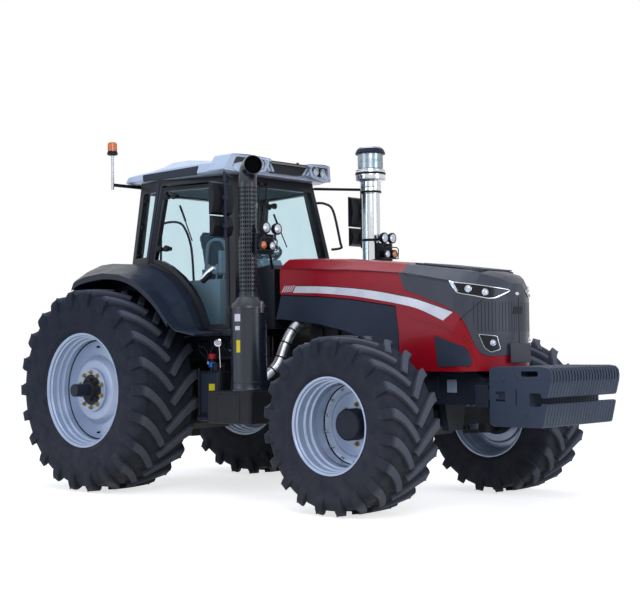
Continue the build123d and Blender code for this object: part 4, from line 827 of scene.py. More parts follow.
@dataclass(frozen=True)
class Wheel:
    """One wheel: lugged tyre, welded rim and the nuts that hold it.

    Attributes:
        place: rear or front.
        side: right or left.
        sign: -1 on the right, 1 on the left.
        centre: the wheel's middle.
        radius: over the lugs.
        half: half the tread's width.
        bead: radius of the tyre's foot.
        lugs: number of lugs on each half of the tread.
        rubber: height of a lug at the crown.
        barrel: section of the rim's outer half, (out, radius).
        disc: section of its disc, (out, radius).
    """

    place: str
    side: str
    sign: float
    centre: Vector
    radius: float
    half: float
    bead: float
    lugs: int
    rubber: float
    barrel: tuple[Flat, ...]
    disc: tuple[Flat, ...]

    # The tyre's outer half: share of the half width, share of the height from bead to crown.
    CARCASS = ((0.845, 0.0), (0.895, 0.06), (0.935, 0.115), (0.958, 0.13), (0.962, 0.16), (0.958, 0.185),
               (0.98, 0.26), (0.995, 0.36), (1.0, 0.455), (0.994, 0.65), (0.958, 0.82), (0.896, 0.925),
               (0.803, 0.973), (0.563, 0.993), (0.0, 1.0))
    # Stations of a lug from its nose outwards: top share, top drop, base share, base drop, width; drops and
    # width in mm, shares of the half width.
    LUG = ((0.02, 0.0, 0.02, 60, 56), (0.16, 0.0, 0.16, 60, 60), (0.32, 1, 0.32, 60, 62),
           (0.5, 3, 0.5, 62, 64), (0.7, 6, 0.7, 66, 70), (0.85, 9, 0.85, 80, 80), (0.93, 14, 0.86, 92, 90),
           (0.99, 45, 0.88, 112, 96), (1.03, 95, 0.90, 140, 104), (1.04, 150, 0.93, 190, 112),
           (0.985, 205, 0.92, 230, 118))
    # The height of lug that LUG's drops and widths are given for.
    LUG_HEIGHT = 0.048
    # How far a lug falls back over the half width, and the power that eases it.
    SWEEP = 0.84
    EASE = 1.5
    # Depth of a lug's pale face, and of its fading edge.
    RUBBED = 0.012
    # The bar axle's end: out from the wheel's middle, and radius.
    STUB = ((0.19, 0.001), (0.19, 0.088), (0.205, 0.086), (0.212, 0.061), (0.405, 0.061), (0.409, 0.056),
            (0.409, 0.014), (0.38, 0.012), (0.38, 0.001))

    @property
    def body(self) -> str:
        """The body that turns."""
        return f"{self.place}_wheel_{self.side}"

    @property
    def axis(self) -> Vector:
        """Outwards along the axle."""
        return ACROSS * self.sign

    def build(self) -> None:
        """Build the wheel."""
        self.tyre()
        self.rim()

    def tyre(self) -> None:
        """The carcass, and its chevron lugs laid round it."""
        name = f"{self.place}_tyre_{self.side}"
        crown = self.radius - self.rubber
        flank = [(a * self.half, self.bead + h * (crown - self.bead)) for a, h in self.CARCASS]
        profile = flank + [(-a, r) for a, r in reversed(flank[:-1])]
        carcass = Shape()
        carcass.spin(profile, self.centre, self.axis, 144)
        made = carcass.build(f"{name}_carcass", self.body, TREAD_RUBBER, angle=60, replaces=[name])
        made.data.attributes.new("wear", "FLOAT", "POINT")
        pitch = 2 * math.pi / self.lugs
        pair = Shape()
        for flank_sign, turn in ((1.0, 0.0), (-1.0, pitch / 2)):
            pair.loft([self.lug_ring(station, flank_sign, turn) for station in self.LUG])
        pair.repeat(f"{name}_lugs", self.body, TREAD_RUBBER, self.lugs, turn=(0, pitch, 0),
                    centre=self.centre, bevel=0.005, wear=self.wear)
        bars = Shape()
        for flank_sign, turn in ((1.0, pitch * 0.42), (-1.0, pitch * 0.92)):
            for a, long in ((0.52, 0.05), (0.74, 0.062)):
                level = crown - 0.004 - 0.012 * a
                turned = turn - self.sweep(a) / self.radius
                outline = [(-long, -0.02), (long, -0.02), (long, 0.02), (-long, 0.02)]
                bars.prism(outline, level - 0.02, level + 0.008, lambda u, v, r: self.on_tread(
                    flank_sign * (a * self.half + v), turned + u / r, r))
        bars.repeat(f"{name}_tread_bars", self.body, TREAD_RUBBER, self.lugs, turn=(0, pitch, 0),
                    centre=self.centre, bevel=0.003)

    def sweep(self, share: float) -> float:
        """How far a lug has fallen back behind its nose, at a share of the half width."""
        return self.SWEEP * self.half * (1 - max(1 - share, 0.0) ** self.EASE)

    @staticmethod
    def on_tread(across: float, turn: float, radius: float) -> Vector:
        """A place about the wheel's centre, by its turn forward from the top."""
        return Vector((radius * math.sin(turn), across, radius * math.cos(turn)))

    def lug_ring(self, station: tuple[float, ...], flank: float, turn: float) -> list[Vector]:
        """The four corners of a lug at one station.

        Args:
            station: top share, top drop, base share, base drop and width.
            flank: which half of the tread.
            turn: where the lug's nose is.

        Returns:
            The corners: base and top behind, top and base in front.
        """
        top, drop, base, sunk, wide = station
        scale = self.rubber / self.LUG_HEIGHT
        share = min(top, 1.0)
        slope = self.SWEEP * self.EASE * math.sqrt(max(1 - share, 0.0)) if top < 0.9 else 0.0
        across = Vector((slope, 1.0)).normalized()
        corners = []
        for a, deep, grow, way in ((base, sunk, 1.25, -1), (top, drop, 1.0, -1), (top, drop, 1.0, 1),
                                   (base, sunk, 1.25, 1)):
            reach = way * wide * MM * scale * grow / 2
            radius = self.radius - deep * MM * scale
            run = -self.sweep(share) + across.y * reach
            corners.append(self.on_tread(
                flank * (a * self.half + across.x * reach), turn + run / self.radius, radius
            ))
        return corners

    def wear(self, point: Vector) -> float:
        """How pale a point of a lug is: its running face is rubbed grey."""
        depth = self.radius - math.hypot(point.x, point.z)
        return min(max(1.0 - (depth - self.RUBBED) / self.RUBBED, 0.0), 1.0)

    def rim(self) -> None:
        """The rolled barrel, the pressed disc, and the nuts."""
        name = f"{self.place}_rim_{self.side}"
        metal = Shape()
        inner = [(-a, r) for a, r in reversed(self.barrel)]
        metal.spin(walled(list(self.barrel) + inner, 0.009), self.centre, self.axis, 120)
        metal.spin(walled(list(self.disc), 0.014), self.centre, self.axis, 120)
        metal.build(name + "_welded", self.body, RIM_ENAMEL, bevel=0.002, replaces=[name])
        if self.place == "rear":
            self.nut_circle(f"{name}_nuts", 10, 0.1725, 0.198, ZINC_YELLOW, 0.019)
            self.nut_circle(f"{name}_bolts", 8, 0.105, 0.190, CAST_IRON, 0.015)
            self.nut_circle(f"{name}_plugs", 4, 0.42, 0.097, SOOT_AND_SHADE, 0.010)
            stub = Shape()
            stub.spin(self.STUB, self.centre, self.axis, 48)
            stub.build(f"axle_stub_{self.side}", self.body, FRAME_COAT, bevel=0.001)
            seat = ((0.099, 0.4885), (0.099, 0.479), (0.1025, 0.479), (0.1025, 0.4885))
        else:
            self.nut_circle(f"{name}_nuts", 8, 0.165, -0.086, ZINC_YELLOW, 0.017)
            self.nut_circle(f"{name}_bolts", 14, 0.311, -0.066, SHAFT_STEEL, 0.010)
            seat = ((-0.07, 0.3425), (-0.07, 0.3335), (-0.0645, 0.3335), (-0.0585, 0.3425))
        # A dead-black ring where the disc meets the barrel: painted shade in that corner.
        joint_shade = Shape()
        joint_shade.spin([*seat, seat[0]], self.centre, self.axis, 96)
        joint_shade.build(f"{name}_joint", self.body, SOOT_AND_SHADE)

    def nut_circle(
        self, name: str, count: int, ring_radius: float, level: float, finish: Finish, size: float
    ) -> None:
        """Hexagon nuts on washers, round the axle.

        Args:
            name: the piece's name.
            count: number of nuts.
            ring_radius: radius of their circle.
            level: outer face that they sit on, out from the wheel's middle.
            finish: their finish.
            size: half the width over corners.
        """
        nut = Shape()
        spot = Vector((0.0, 0.0, ring_radius))
        for radius, low, high, corners in ((size * 1.25, -0.004, 0.004, 18), (size, 0.0, 0.022, 6),
                                           (size * 0.55, 0.0, 0.034, 12)):
            nut.peg(spot + self.axis * (level + low), AHEAD, UP, radius, self.axis * (high - low), corners)
        nut.repeat(name, self.body, finish, count, turn=(0, 2 * math.pi / count, 0),
                   centre=self.centre, bevel=0.0015)


# Sections of the rims' outer halves: out from the wheel's middle, and radius.
REAR_BARREL = ((0.316, 0.559), (0.316, 0.547), (0.306, 0.534), (0.285, 0.530), (0.278, 0.518), (0.266, 0.516),
               (0.26, 0.528), (0.22, 0.524), (0.212, 0.506), (0.198, 0.504), (0.19, 0.514), (0.165, 0.508),
               (0.158, 0.490), (0.143, 0.488), (0.135, 0.498), (0.115, 0.494), (0.05, 0.487))
REAR_DISC = ((0.10, 0.490), (0.10, 0.35), (0.112, 0.33), (0.158, 0.294), (0.165, 0.28), (0.165, 0.215),
             (0.196, 0.209), (0.197, 0.150))
FRONT_BARREL = (
    (0.271, 0.406), (0.271, 0.392), (0.262, 0.384), (0.245, 0.382), (0.238, 0.370), (0.225, 0.368),
    (0.218, 0.379), (0.16, 0.376), (0.152, 0.360), (0.138, 0.358), (0.130, 0.369), (0.095, 0.366),
    (0.087, 0.350), (0.073, 0.348), (0.066, 0.358), (0.03, 0.354), (0.02, 0.340), (0.005, 0.338),
    (-0.003, 0.348), (-0.04, 0.344))
FRONT_DISC = ((-0.06, 0.342), (-0.07, 0.325), (-0.07, 0.276), (-0.09, 0.262), (-0.09, 0.133))


def wheels() -> list[Wheel]:
    """The four wheels, each at its packed hub.

    Returns:
        The wheels, rear ones first.
    """
    made = []
    for side, sign in SIDES:
        made.append(Wheel(
            "rear", side, sign, middle(f"rear_tyre_{side}"), radius=0.99, half=0.355, bead=0.545, lugs=22,
            rubber=0.048, barrel=REAR_BARREL, disc=REAR_DISC,
        ))
        made.append(Wheel(
            "front", side, sign, middle(f"front_tyre_{side}"), radius=0.74, half=0.30, bead=0.396, lugs=20,
            rubber=0.042, barrel=FRONT_BARREL, disc=FRONT_DISC,
        ))
    return made


# ---- Hood ------------------------------------------------------------------------


class HoodWall:
    """The hood's side, unrolled: a place runs along the side and round the nose."""

    PLAN = ((1.763, 0.46), (3.80, 0.46), (3.93, 0.425), (4.02, 0.325), (4.09, 0.2), (4.125, 0.1), (4.13, 0.0))

    def __init__(self) -> None:
        """Lay the nose's curve out by its length."""
        curve = smooth_path(self.PLAN[1:] + ((4.13, -0.05),), 8)
        self.stations = [Vector((1.0, 0.46)), *curve]
        self.lengths = [1.0]
        for a, b in zip(self.stations, self.stations[1:]):
            self.lengths.append(self.lengths[-1] + (b - a).length)

    def point(self, along: float, z: float, out: float, sign: float) -> Vector:
        """A place on the wall.

        Args:
            along: distance forward, then round the nose.
            z: height.
            out: how far it stands proud.
            sign: -1 on the right, 1 on the left.

        Returns:
            The point.
        """
        i = 0
        while i < len(self.lengths) - 2 and self.lengths[i + 1] < along:
            i += 1
        a, b = self.stations[i], self.stations[i + 1]
        t = (along - self.lengths[i]) / (self.lengths[i + 1] - self.lengths[i])
        spot = a.lerp(b, t)
        before = self.normal(i - 1) if i else self.normal(i)
        here, after = self.normal(i), self.normal(min(i + 1, len(self.stations) - 2))
        facing = ((before + here).lerp(here + after, t)).normalized()
        return at(spot.x + facing.x * out, sign * (spot.y + facing.y * out), z)

    def normal(self, i: int) -> Vector:
        """Outwards from one length of the plan."""
        run = self.stations[i + 1] - self.stations[i]
        return Vector((-run.y, run.x)).normalized()

    def panel(
        self, shape: Shape, outline: Sequence[Flat], sign: float, inner: float, outer: float,
        holes: Sequence[Sequence[Flat]] = (), slot: int = 0,
    ) -> None:
        """A plate bent to the wall.

        Args:
            shape: gets the plate.
            outline: its outline, (along, height).
            sign: -1 on the right, 1 on the left.
            inner: the level of its back.
            outer: the level of its face.
            holes: openings in it.
            slot: number of the finish.
        """
        loops = [list(outline), *map(list, holes)]
        work = bmesh.new()
        flat = [[Vector((u, v, 0.0)) for u, v in one] for one in loops]
        corners = [work.verts.new(p) for one in flat for p in one]
        if holes:
            for face in tessellate_polygon(flat):
                if len({corners[i] for i in face}) == 3:
                    work.faces.new([corners[i] for i in face])
        else:
            work.faces.new(corners)
        low, high = min(u for u, _ in outline), max(u for u, _ in outline)
        for cut in self.lengths[1:]:
            if low < cut < high:
                everything = work.verts[:] + work.edges[:] + work.faces[:]
                bmesh.ops.bisect_plane(
                    work, geom=everything, plane_co=(cut, 0, 0), plane_no=AHEAD, dist=1e-6
                )
        bmesh.ops.recalc_face_normals(work, faces=work.faces)
        work.verts.index_update()
        count = len(work.verts)
        points = [self.point(v.co.x, v.co.y, level, sign) for level in (inner, outer) for v in work.verts]
        faces = [tuple(v.index for v in face.verts) for face in work.faces]
        rims = [
            (a.index, b.index, b.index + count, a.index + count)
            for a, b in (edge.verts for edge in work.edges if len(edge.link_faces) == 1)
        ]
        lids = [tuple(i + count for i in reversed(face)) for face in faces]
        work.free()
        shape.add(points, faces + lids + rims, slot)


@dataclass(frozen=True)
class Hood:
    """The one-piece hood: enamelled shell, grey mask, mesh, stripe and lamps."""

    wall: HoodWall
    stripe_top: tuple[Flat, ...] = (
        (1.985, 1.958), (2.035, 1.957), (2.298, 1.945), (2.661, 1.915), (2.964, 1.876), (3.223, 1.829),
        (3.441, 1.782), (3.795, 1.671))
    stripe_bottom: tuple[Flat, ...] = (
        (1.945, 1.893), (2.034, 1.889), (2.297, 1.876), (2.66, 1.841), (2.962, 1.796), (3.221, 1.751),
        (3.44, 1.698), (3.684, 1.598))
    headlight: tuple[Flat, ...] = (
        (3.753, 1.938), (3.79, 1.925), (4.295, 1.852), (4.312, 1.84), (4.165, 1.778), (4.1, 1.772),
        (3.858, 1.821), (3.826, 1.834))
    fog_pocket: tuple[Flat, ...] = (
        (4.007, 1.48), (4.175, 1.462), (4.205, 1.35), (4.115, 1.325), (4.06, 1.36))
    mesh_window: tuple[Flat, ...] = (
        (3.592, 1.473), (3.896, 1.373), (3.95, 1.288), (3.949, 1.214), (3.624, 1.206))
    seam: tuple[Flat, ...] = (
        (1.819, 2.141), (2.3, 2.096), (2.675, 2.077), (3.137, 2.034), (3.342, 2.011), (3.553, 1.972),
        (3.711, 1.944), (3.80, 1.93))
    mask: tuple[Flat, ...] = (
        (3.205, 2.035), (3.237, 1.98), (3.262, 1.905), (3.31, 1.865), (3.42, 1.828), (3.557, 1.777),
        (3.689, 1.732), (3.80, 1.683), (3.862, 1.628), (3.915, 1.548), (3.955, 1.446), (3.994, 1.366),
        (4.04, 1.314), (4.10, 1.297), (4.25, 1.299), (4.415, 1.30))
    crease: tuple[Flat, ...] = (
        (3.30, 1.66), (3.571, 1.60), (3.707, 1.56), (3.855, 1.49), (3.94, 1.40), (3.985, 1.30), (4.0, 1.21))

    def build(self) -> None:
        """Build the hood."""
        softened("hood", HOOD_ENAMEL, 0.006)
        softened("hood_nose", NOSE_ABS, 0.005)
        softened("front_plate", NOSE_ABS, 0.004)
        self.stripes()
        self.mask_panels()
        self.front()
        self.louvres()
        self.lamps()
        self.side_mesh()

    def stripes(self) -> None:
        """The silver stripe with its slanted hash marks, on both sides, and dark bands along its top edge and
        along the hood's seam, the seam's band painted shade in the gap.
        """
        foil = Shape()
        for _, sign in SIDES:
            upper, lower = smooth_path(self.stripe_top, 4), smooth_path(self.stripe_bottom, 4)
            body = [tuple(p) for p in upper] + [tuple(p) for p in reversed(lower)]
            self.wall.panel(foil, body, sign, -0.003, 0.0022)
            for k in range(5):
                foot = 1.80 + 0.029 * k
                mark = [(foot, 1.902), (foot + 0.012, 1.902), (foot + 0.052, 1.96), (foot + 0.040, 1.96)]
                self.wall.panel(foil, mark, sign, -0.003, 0.0022)
        foil.build("hood_stripe", "hood", STRIPE_FOIL, angle=50)
        # Dark bands 6 mm wide: along the stripe's top edge, and along the seam as painted shade in the gap.
        edge = Shape()
        for _, sign in SIDES:
            for path in (self.stripe_top, self.seam):
                line = smooth_path(path, 4)
                band = [tuple(p) for p in line] + [(p.x, p.y - 0.006) for p in reversed(line)]
                self.wall.panel(edge, band, sign, -0.003, 0.003)
        edge.build("hood_stripe_edge_and_seam_shade", "hood", CAB_PAINT, angle=50)

    def mask_panels(self) -> None:
        """The grey mask's smooth edge, the flutes of the nose and a seam, both drawn as black strips of
        painted shade, and the crease in the red flank.
        """
        grey, lines, red = Shape(), Shape(), Shape()
        for _, sign in SIDES:
            edge = [tuple(p) for p in smooth_path(self.mask, 4)]
            top = [(4.415, 1.79), (4.05, 1.80), (3.80, 1.90), (3.50, 1.955), (3.30, 1.99)]
            self.wall.panel(grey, edge + top, sign, -0.006, 0.0095)
            # Black strips down each flute and along the seam: painted shade in the grooves.
            for k in range(14):
                along = 3.97 + 0.032 * k
                foot = 1.56 if along < 4.0 else 1.50
                groove_shade = [(along, foot), (along + 0.005, foot), (along + 0.005, 1.75), (along, 1.75)]
                self.wall.panel(lines, groove_shade, sign, -0.004, 0.0102)
            seam = [(3.85, 1.60), (4.06, 1.78), (4.064, 1.776), (3.854, 1.596)]
            self.wall.panel(lines, seam, sign, -0.004, 0.0102)
            path = smooth_path(self.crease, 4)
            band = [tuple(p) for p in path] + [(p.x - 0.006, p.y - 0.022) for p in reversed(path)]
            self.wall.panel(red, band, sign, -0.004, 0.006)
        grey.build("nose_mask", "hood", NOSE_ABS, angle=40)
        lines.build("nose_flute_shade", "hood", BLACK_NYLON, angle=40)
        red.build("hood_crease", "hood", HOOD_ENAMEL, bevel=0.003, angle=40)

    @staticmethod
    def front() -> None:
        """The blank plate in its bright frame, and the small cap, on the middle of the nose."""
        plate = Shape()
        slanted = [(-0.09, 1.647), (0.045, 1.647), (0.06, 1.712), (-0.075, 1.712)]
        plate.prism(rounded(slanted, 0.008), 4.12, 4.140, crosswise)
        plate.build("nose_plate", "hood", BLACK_NYLON, bevel=0.002)
        cap = Shape()
        turns = (math.radians(15 * k) for k in range(24))
        oval = [(0.028 * math.cos(a) - 0.01, 1.82 + 0.014 * math.sin(a)) for a in turns]
        cap.prism(oval, 4.10, 4.136, crosswise)
        cap.prism([(-0.10, 1.642), (0.05, 1.642), (0.065, 1.717), (-0.085, 1.717)], 4.11, 4.132, crosswise)
        cap.build("nose_cap", "hood", CHROME, bevel=0.002)

    @staticmethod
    def louvres() -> None:
        """Slats across the top of the mask, between two ridges."""
        slat = Shape()
        section = [(-0.012, -0.006), (0.012, -0.006), (0.010, 0.004), (-0.004, 0.008)]
        slat.prism(section, -0.24, 0.24, lambda u, v, y: Vector((u, y, v)))
        slat.repeat("nose_louvres", "hood", NOSE_ABS, 17, shift=(0.036, 0, -0.0046),
                    centre=at(3.33, 0, 2.106), bevel=0.001)
        ridges = Shape()
        for _, sign in SIDES:
            path = [(3.24, 0.25, 2.113), (3.45, 0.255, 2.086), (3.75, 0.25, 2.045), (3.93, 0.235, 2.012)]
            ridges.tube(smooth_path([at(x, sign * y, z) for x, y, z in path], 4), 0.007)
        ridges.build("nose_ridges", "hood", NOSE_ABS)

    def lamps(self) -> None:
        """Headlights and fog lamps: smoked pockets, bright frames and round lamps."""
        pockets, frames, lenses = Shape(), Shape(), Shape()
        for _, sign in SIDES:
            outline = rounded(self.headlight, 0.02)
            self.wall.panel(pockets, outline, sign, -0.01, 0.0105)
            inner = shrunk(outline, 0.955, 0.88)
            self.wall.panel(frames, outline, sign, 0.002, 0.0135, holes=[inner])
            for along, z in ((3.932, 1.857), (4.071, 1.829)):
                self.lamp(frames, lenses, along, z, 0.030, sign)
            tail = [(3.766, 1.933), (3.797, 1.927), (3.846, 1.838), (3.822, 1.848)]
            self.wall.panel(lenses, rounded(tail, 0.008), sign, 0.0, 0.0122)
            pocket = rounded(self.fog_pocket, 0.015)
            self.wall.panel(pockets, pocket, sign, -0.01, 0.0112)
            self.wall.panel(frames, pocket, sign, 0.002, 0.0135, holes=[shrunk(pocket, 0.955, 0.955)])
            self.lamp(frames, lenses, 4.135, 1.405, 0.028, sign)
        pockets.build("lamp_pockets", "hood", SMOKED_GLOSS)
        frames.build("lamp_frames", "hood", CHROME, bevel=0.0015)
        lenses.build("lamp_lenses", "hood", LAMP_CORE, bevel=0.001)

    def lamp(self, frames: Shape, lenses: Shape, along: float, z: float, radius: float, sign: float) -> None:
        """One round lamp: a bright ring and a crowned lens.

        Args:
            frames: gets the ring.
            lenses: gets the lens.
            along: its middle on the wall.
            z: its height.
            radius: its radius.
            sign: -1 on the right, 1 on the left.
        """
        centre = self.wall.point(along, z, 0.005, sign)
        axis = (self.wall.point(along, z, 0.05, sign) - centre).normalized()
        frames.spin([(0.0, radius), (0.012, radius), (0.014, radius * 0.93), (0.0, radius * 0.8)],
                    centre, axis, 32)
        lenses.spin([(0.0, 0.0004), (0.012, 0.0004), (0.011, radius * 0.5), (0.006, radius * 0.86),
                     (0.0, radius * 0.86)], centre, axis, 32)

    def side_mesh(self) -> None:
        """The perforated window low on each side of the nose."""
        sheet = Shape()
        for _, sign in SIDES:
            self.wall.panel(sheet, rounded(self.mesh_window, 0.03), sign, -0.006, 0.0055)
        sheet.build("nose_side_mesh", "hood", MESH_SHEET)


# ---- Weights ---------------------------------------------------------------------


@dataclass(frozen=True)
class FrontWeights:
    """A pack of hand-hold ballast plates hung on the front carrier."""

    count: int = 24
    pitch: float = 0.0446
    thick: float = 0.0405
    body: tuple[Flat, ...] = (
        (4.20, 1.185), (4.225, 1.21), (4.42, 1.21), (4.465, 1.10), (4.787, 1.10), (4.75, 0.962),
        (4.69, 0.962), (4.69, 1.0), (4.58, 1.0), (4.58, 0.895), (4.69, 0.895), (4.69, 0.917), (4.75, 0.917),
        (4.706, 0.727), (4.225, 0.727), (4.20, 0.75))
    grip: tuple[Flat, ...] = (
        (4.38, 1.21), (4.70, 1.21), (4.755, 1.20), (4.782, 1.175), (4.79, 1.13), (4.787, 1.09), (4.38, 1.09))
    grip_thick: float = 0.027

    def build(self) -> None:
        """Build the pack."""
        low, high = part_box("front_weights")
        plate = Shape()
        hold = rounded([(4.50, 1.175), (4.66, 1.175), (4.66, 1.13), (4.50, 1.13)], 0.02, 3)
        notch = [(4.26, 1.01), (4.35, 1.01), (4.35, 0.93), (4.26, 0.93), (4.26, 0.95), (4.29, 0.95),
                 (4.29, 0.985), (4.26, 0.985)]
        slit = [(4.452, 1.03), (4.461, 1.03), (4.461, 0.90), (4.452, 0.90)]
        half = self.thick / 2
        plate.prism(rounded(self.body, 0.018, 2), -half, half, lengthwise, holes=[notch, slit])
        plate.prism(self.grip, -self.grip_thick / 2, self.grip_thick / 2, lengthwise, holes=[hold])
        step = (high.y - low.y - self.thick) / (self.count - 1)
        plate.repeat(
            "weight_plates", "chassis", BALLAST_COAT, self.count, shift=(0, step, 0),
            centre=(0, low.y + half, 0), bevel=0.002, replaces=["front_weights"],
        )
        bosses = Shape()
        for x, z, radius in ((4.33, 1.11, 0.026), (4.55, 0.83, 0.02)):
            centre = lengthwise(x, z, low.y)
            bosses.spin([(-0.01, 0.0004), (0.006, 0.0004), (0.006, radius * 0.8), (-0.01, radius)],
                        centre, -ACROSS, 24)
        tag = rounded([(4.24, 0.80), (4.40, 0.80), (4.40, 0.755), (4.24, 0.755)], 0.006, 2)
        bosses.prism(tag, low.y - 0.002, low.y + 0.01, lengthwise)
        bosses.build("weight_bosses", "chassis", BALLAST_COAT, bevel=0.002)


# ---- Cab -------------------------------------------------------------------------


@dataclass(frozen=True)
class Roof:
    """The moulded roof: shell, side plates, lamp pods and marker knobs."""

    # One row per station: ahead, half width, underside, edge height, crown height, crown's half width.
    stations: tuple[tuple[float, ...], ...] = (
        (-0.140, 0.735, 3.062, 3.105, 3.118, 0.66),
        (-0.087, 0.755, 3.062, 3.135, 3.190, 0.62),
        (0.184, 0.760, 3.062, 3.150, 3.205, 0.62),
        (0.364, 0.757, 3.062, 3.158, 3.232, 0.62),
        (0.443, 0.760, 3.062, 3.165, 3.261, 0.61),
        (0.671, 0.762, 3.062, 3.170, 3.265, 0.60),
        (0.987, 0.760, 3.062, 3.172, 3.228, 0.58),
        (1.250, 0.745, 3.062, 3.165, 3.222, 0.55),
        (1.400, 0.660, 3.062, 3.140, 3.205, 0.50),
    )
    plate: tuple[Flat, ...] = ((0.16, 3.138), (0.98, 3.152), (0.955, 3.068), (0.17, 3.070))
    knobs: tuple[Spot, ...] = ((1.2, 0.006, 3.225), (1.2, -0.417, 3.222), (1.2, 0.417, 3.222))
    # The pods and the brow lean forward by a share of the rise above their middle.
    lean: float = 0.12
    pod_middle: float = 3.15
    # Outside this a pod sweeps back, by a share of the way out.
    pod_bend: float = 0.45
    pod_sweep: float = 0.42

    def build(self) -> None:
        """Build the roof."""
        shell = Shape()
        rings = []
        for x, half, low, edge, crown, inner in self.stations:
            right = [(-half + 0.05, low), (-half, low + 0.02), (-half + 0.012, edge), (-inner, crown - 0.012),
                     (-inner * 0.55, crown)]
            rings.append([at(x, y, z) for y, z in right + [(-y, z) for y, z in reversed(right)]])
        shell.loft(rings)
        shell.build("roof_shell", "chassis", ROOF_GEL, bevel=0.006, angle=14, replaces=["cab_roof"])
        strip = Shape()
        for _, sign in SIDES:
            strip.prism(rounded(self.plate, 0.012), 0.742, 0.7655,
                        lambda u, v, y: at(u, sign * (y - (v - 3.09) * 0.1), v))
        strip.build("roof_side_plates", "chassis", FENDER_ABS, bevel=0.002)
        self.pods()
        studs = Shape()
        for x, y, z in self.knobs:
            studs.spin([(-0.02, 0.001), (-0.02, 0.02), (0.02, 0.018), (0.045, 0.014), (0.052, 0.001)],
                       at(x, y, z), steps=20)
        studs.build("roof_knobs", "chassis", BLACK_NYLON)

    def pods(self) -> None:
        """White wings at the front corners, each round two lamps, and the dark brow between."""
        white, dark, frames, lenses = Shape(), Shape(), Shape(), Shape()
        for _, sign in SIDES:
            outer = [(0.255, 3.215), (0.56, 3.238), (0.70, 3.240), (0.765, 3.085), (0.60, 3.066),
                     (0.33, 3.085)]
            inner = [(0.305, 3.196), (0.655, 3.212), (0.69, 3.110), (0.62, 3.098), (0.35, 3.110)]
            hole = rounded(inner, 0.02)

            def rake(u: float, v: float, x: float) -> Vector:
                """A place on the pod: out, up and ahead, swept back at its outer end."""
                back = max(u - self.pod_bend, 0.0) * self.pod_sweep
                return at(x - back + (v - self.pod_middle) * self.lean, sign * u, v)

            white.prism(rounded(outer, 0.02), 1.25, 1.482, rake, holes=[hole])
            dark.prism(hole, 1.30, 1.452, rake)
            for y in (0.395, 0.535):
                centre = rake(y, 3.152, 1.452)
                axis = Vector((1.0, sign * 0.12, -0.1)).normalized()
                frames.spin([(-0.02, 0.044), (0.022, 0.042), (0.024, 0.036), (-0.02, 0.033)],
                            centre, axis, 32)
                lenses.spin([(-0.01, 0.0004), (0.016, 0.0004), (0.014, 0.02), (0.008, 0.035),
                             (-0.01, 0.035)], centre, axis, 32)
            brace = [(0.20, 3.098), (0.225, 3.098), (0.30, 3.205), (0.275, 3.205)]
            for shift in (0.0, 0.055):
                white.prism([(u + shift, v) for u, v in brace], 1.44, 1.474, rake)
        brow = [(-0.30, 3.205), (0.30, 3.205), (0.20, 3.092), (-0.20, 3.092)]
        dark.prism(rounded(brow, 0.015), 1.30, 1.462,
                   lambda u, v, x: at(x + (v - self.pod_middle) * self.lean, u, v))
        lip = [(1.30, 3.205), (1.475, 3.196), (1.52, 3.168), (1.30, 3.190)]
        dark.prism(lip, -0.29, 0.29, lengthwise)
        white.build("roof_pods", "chassis", ROOF_GEL, bevel=0.003)
        dark.build("roof_brow", "chassis", CAB_PAINT, bevel=0.002)
        frames.build("roof_lamp_rings", "chassis", CHROME)
        lenses.build("roof_lamp_lenses", "chassis", LAMP_CORE)


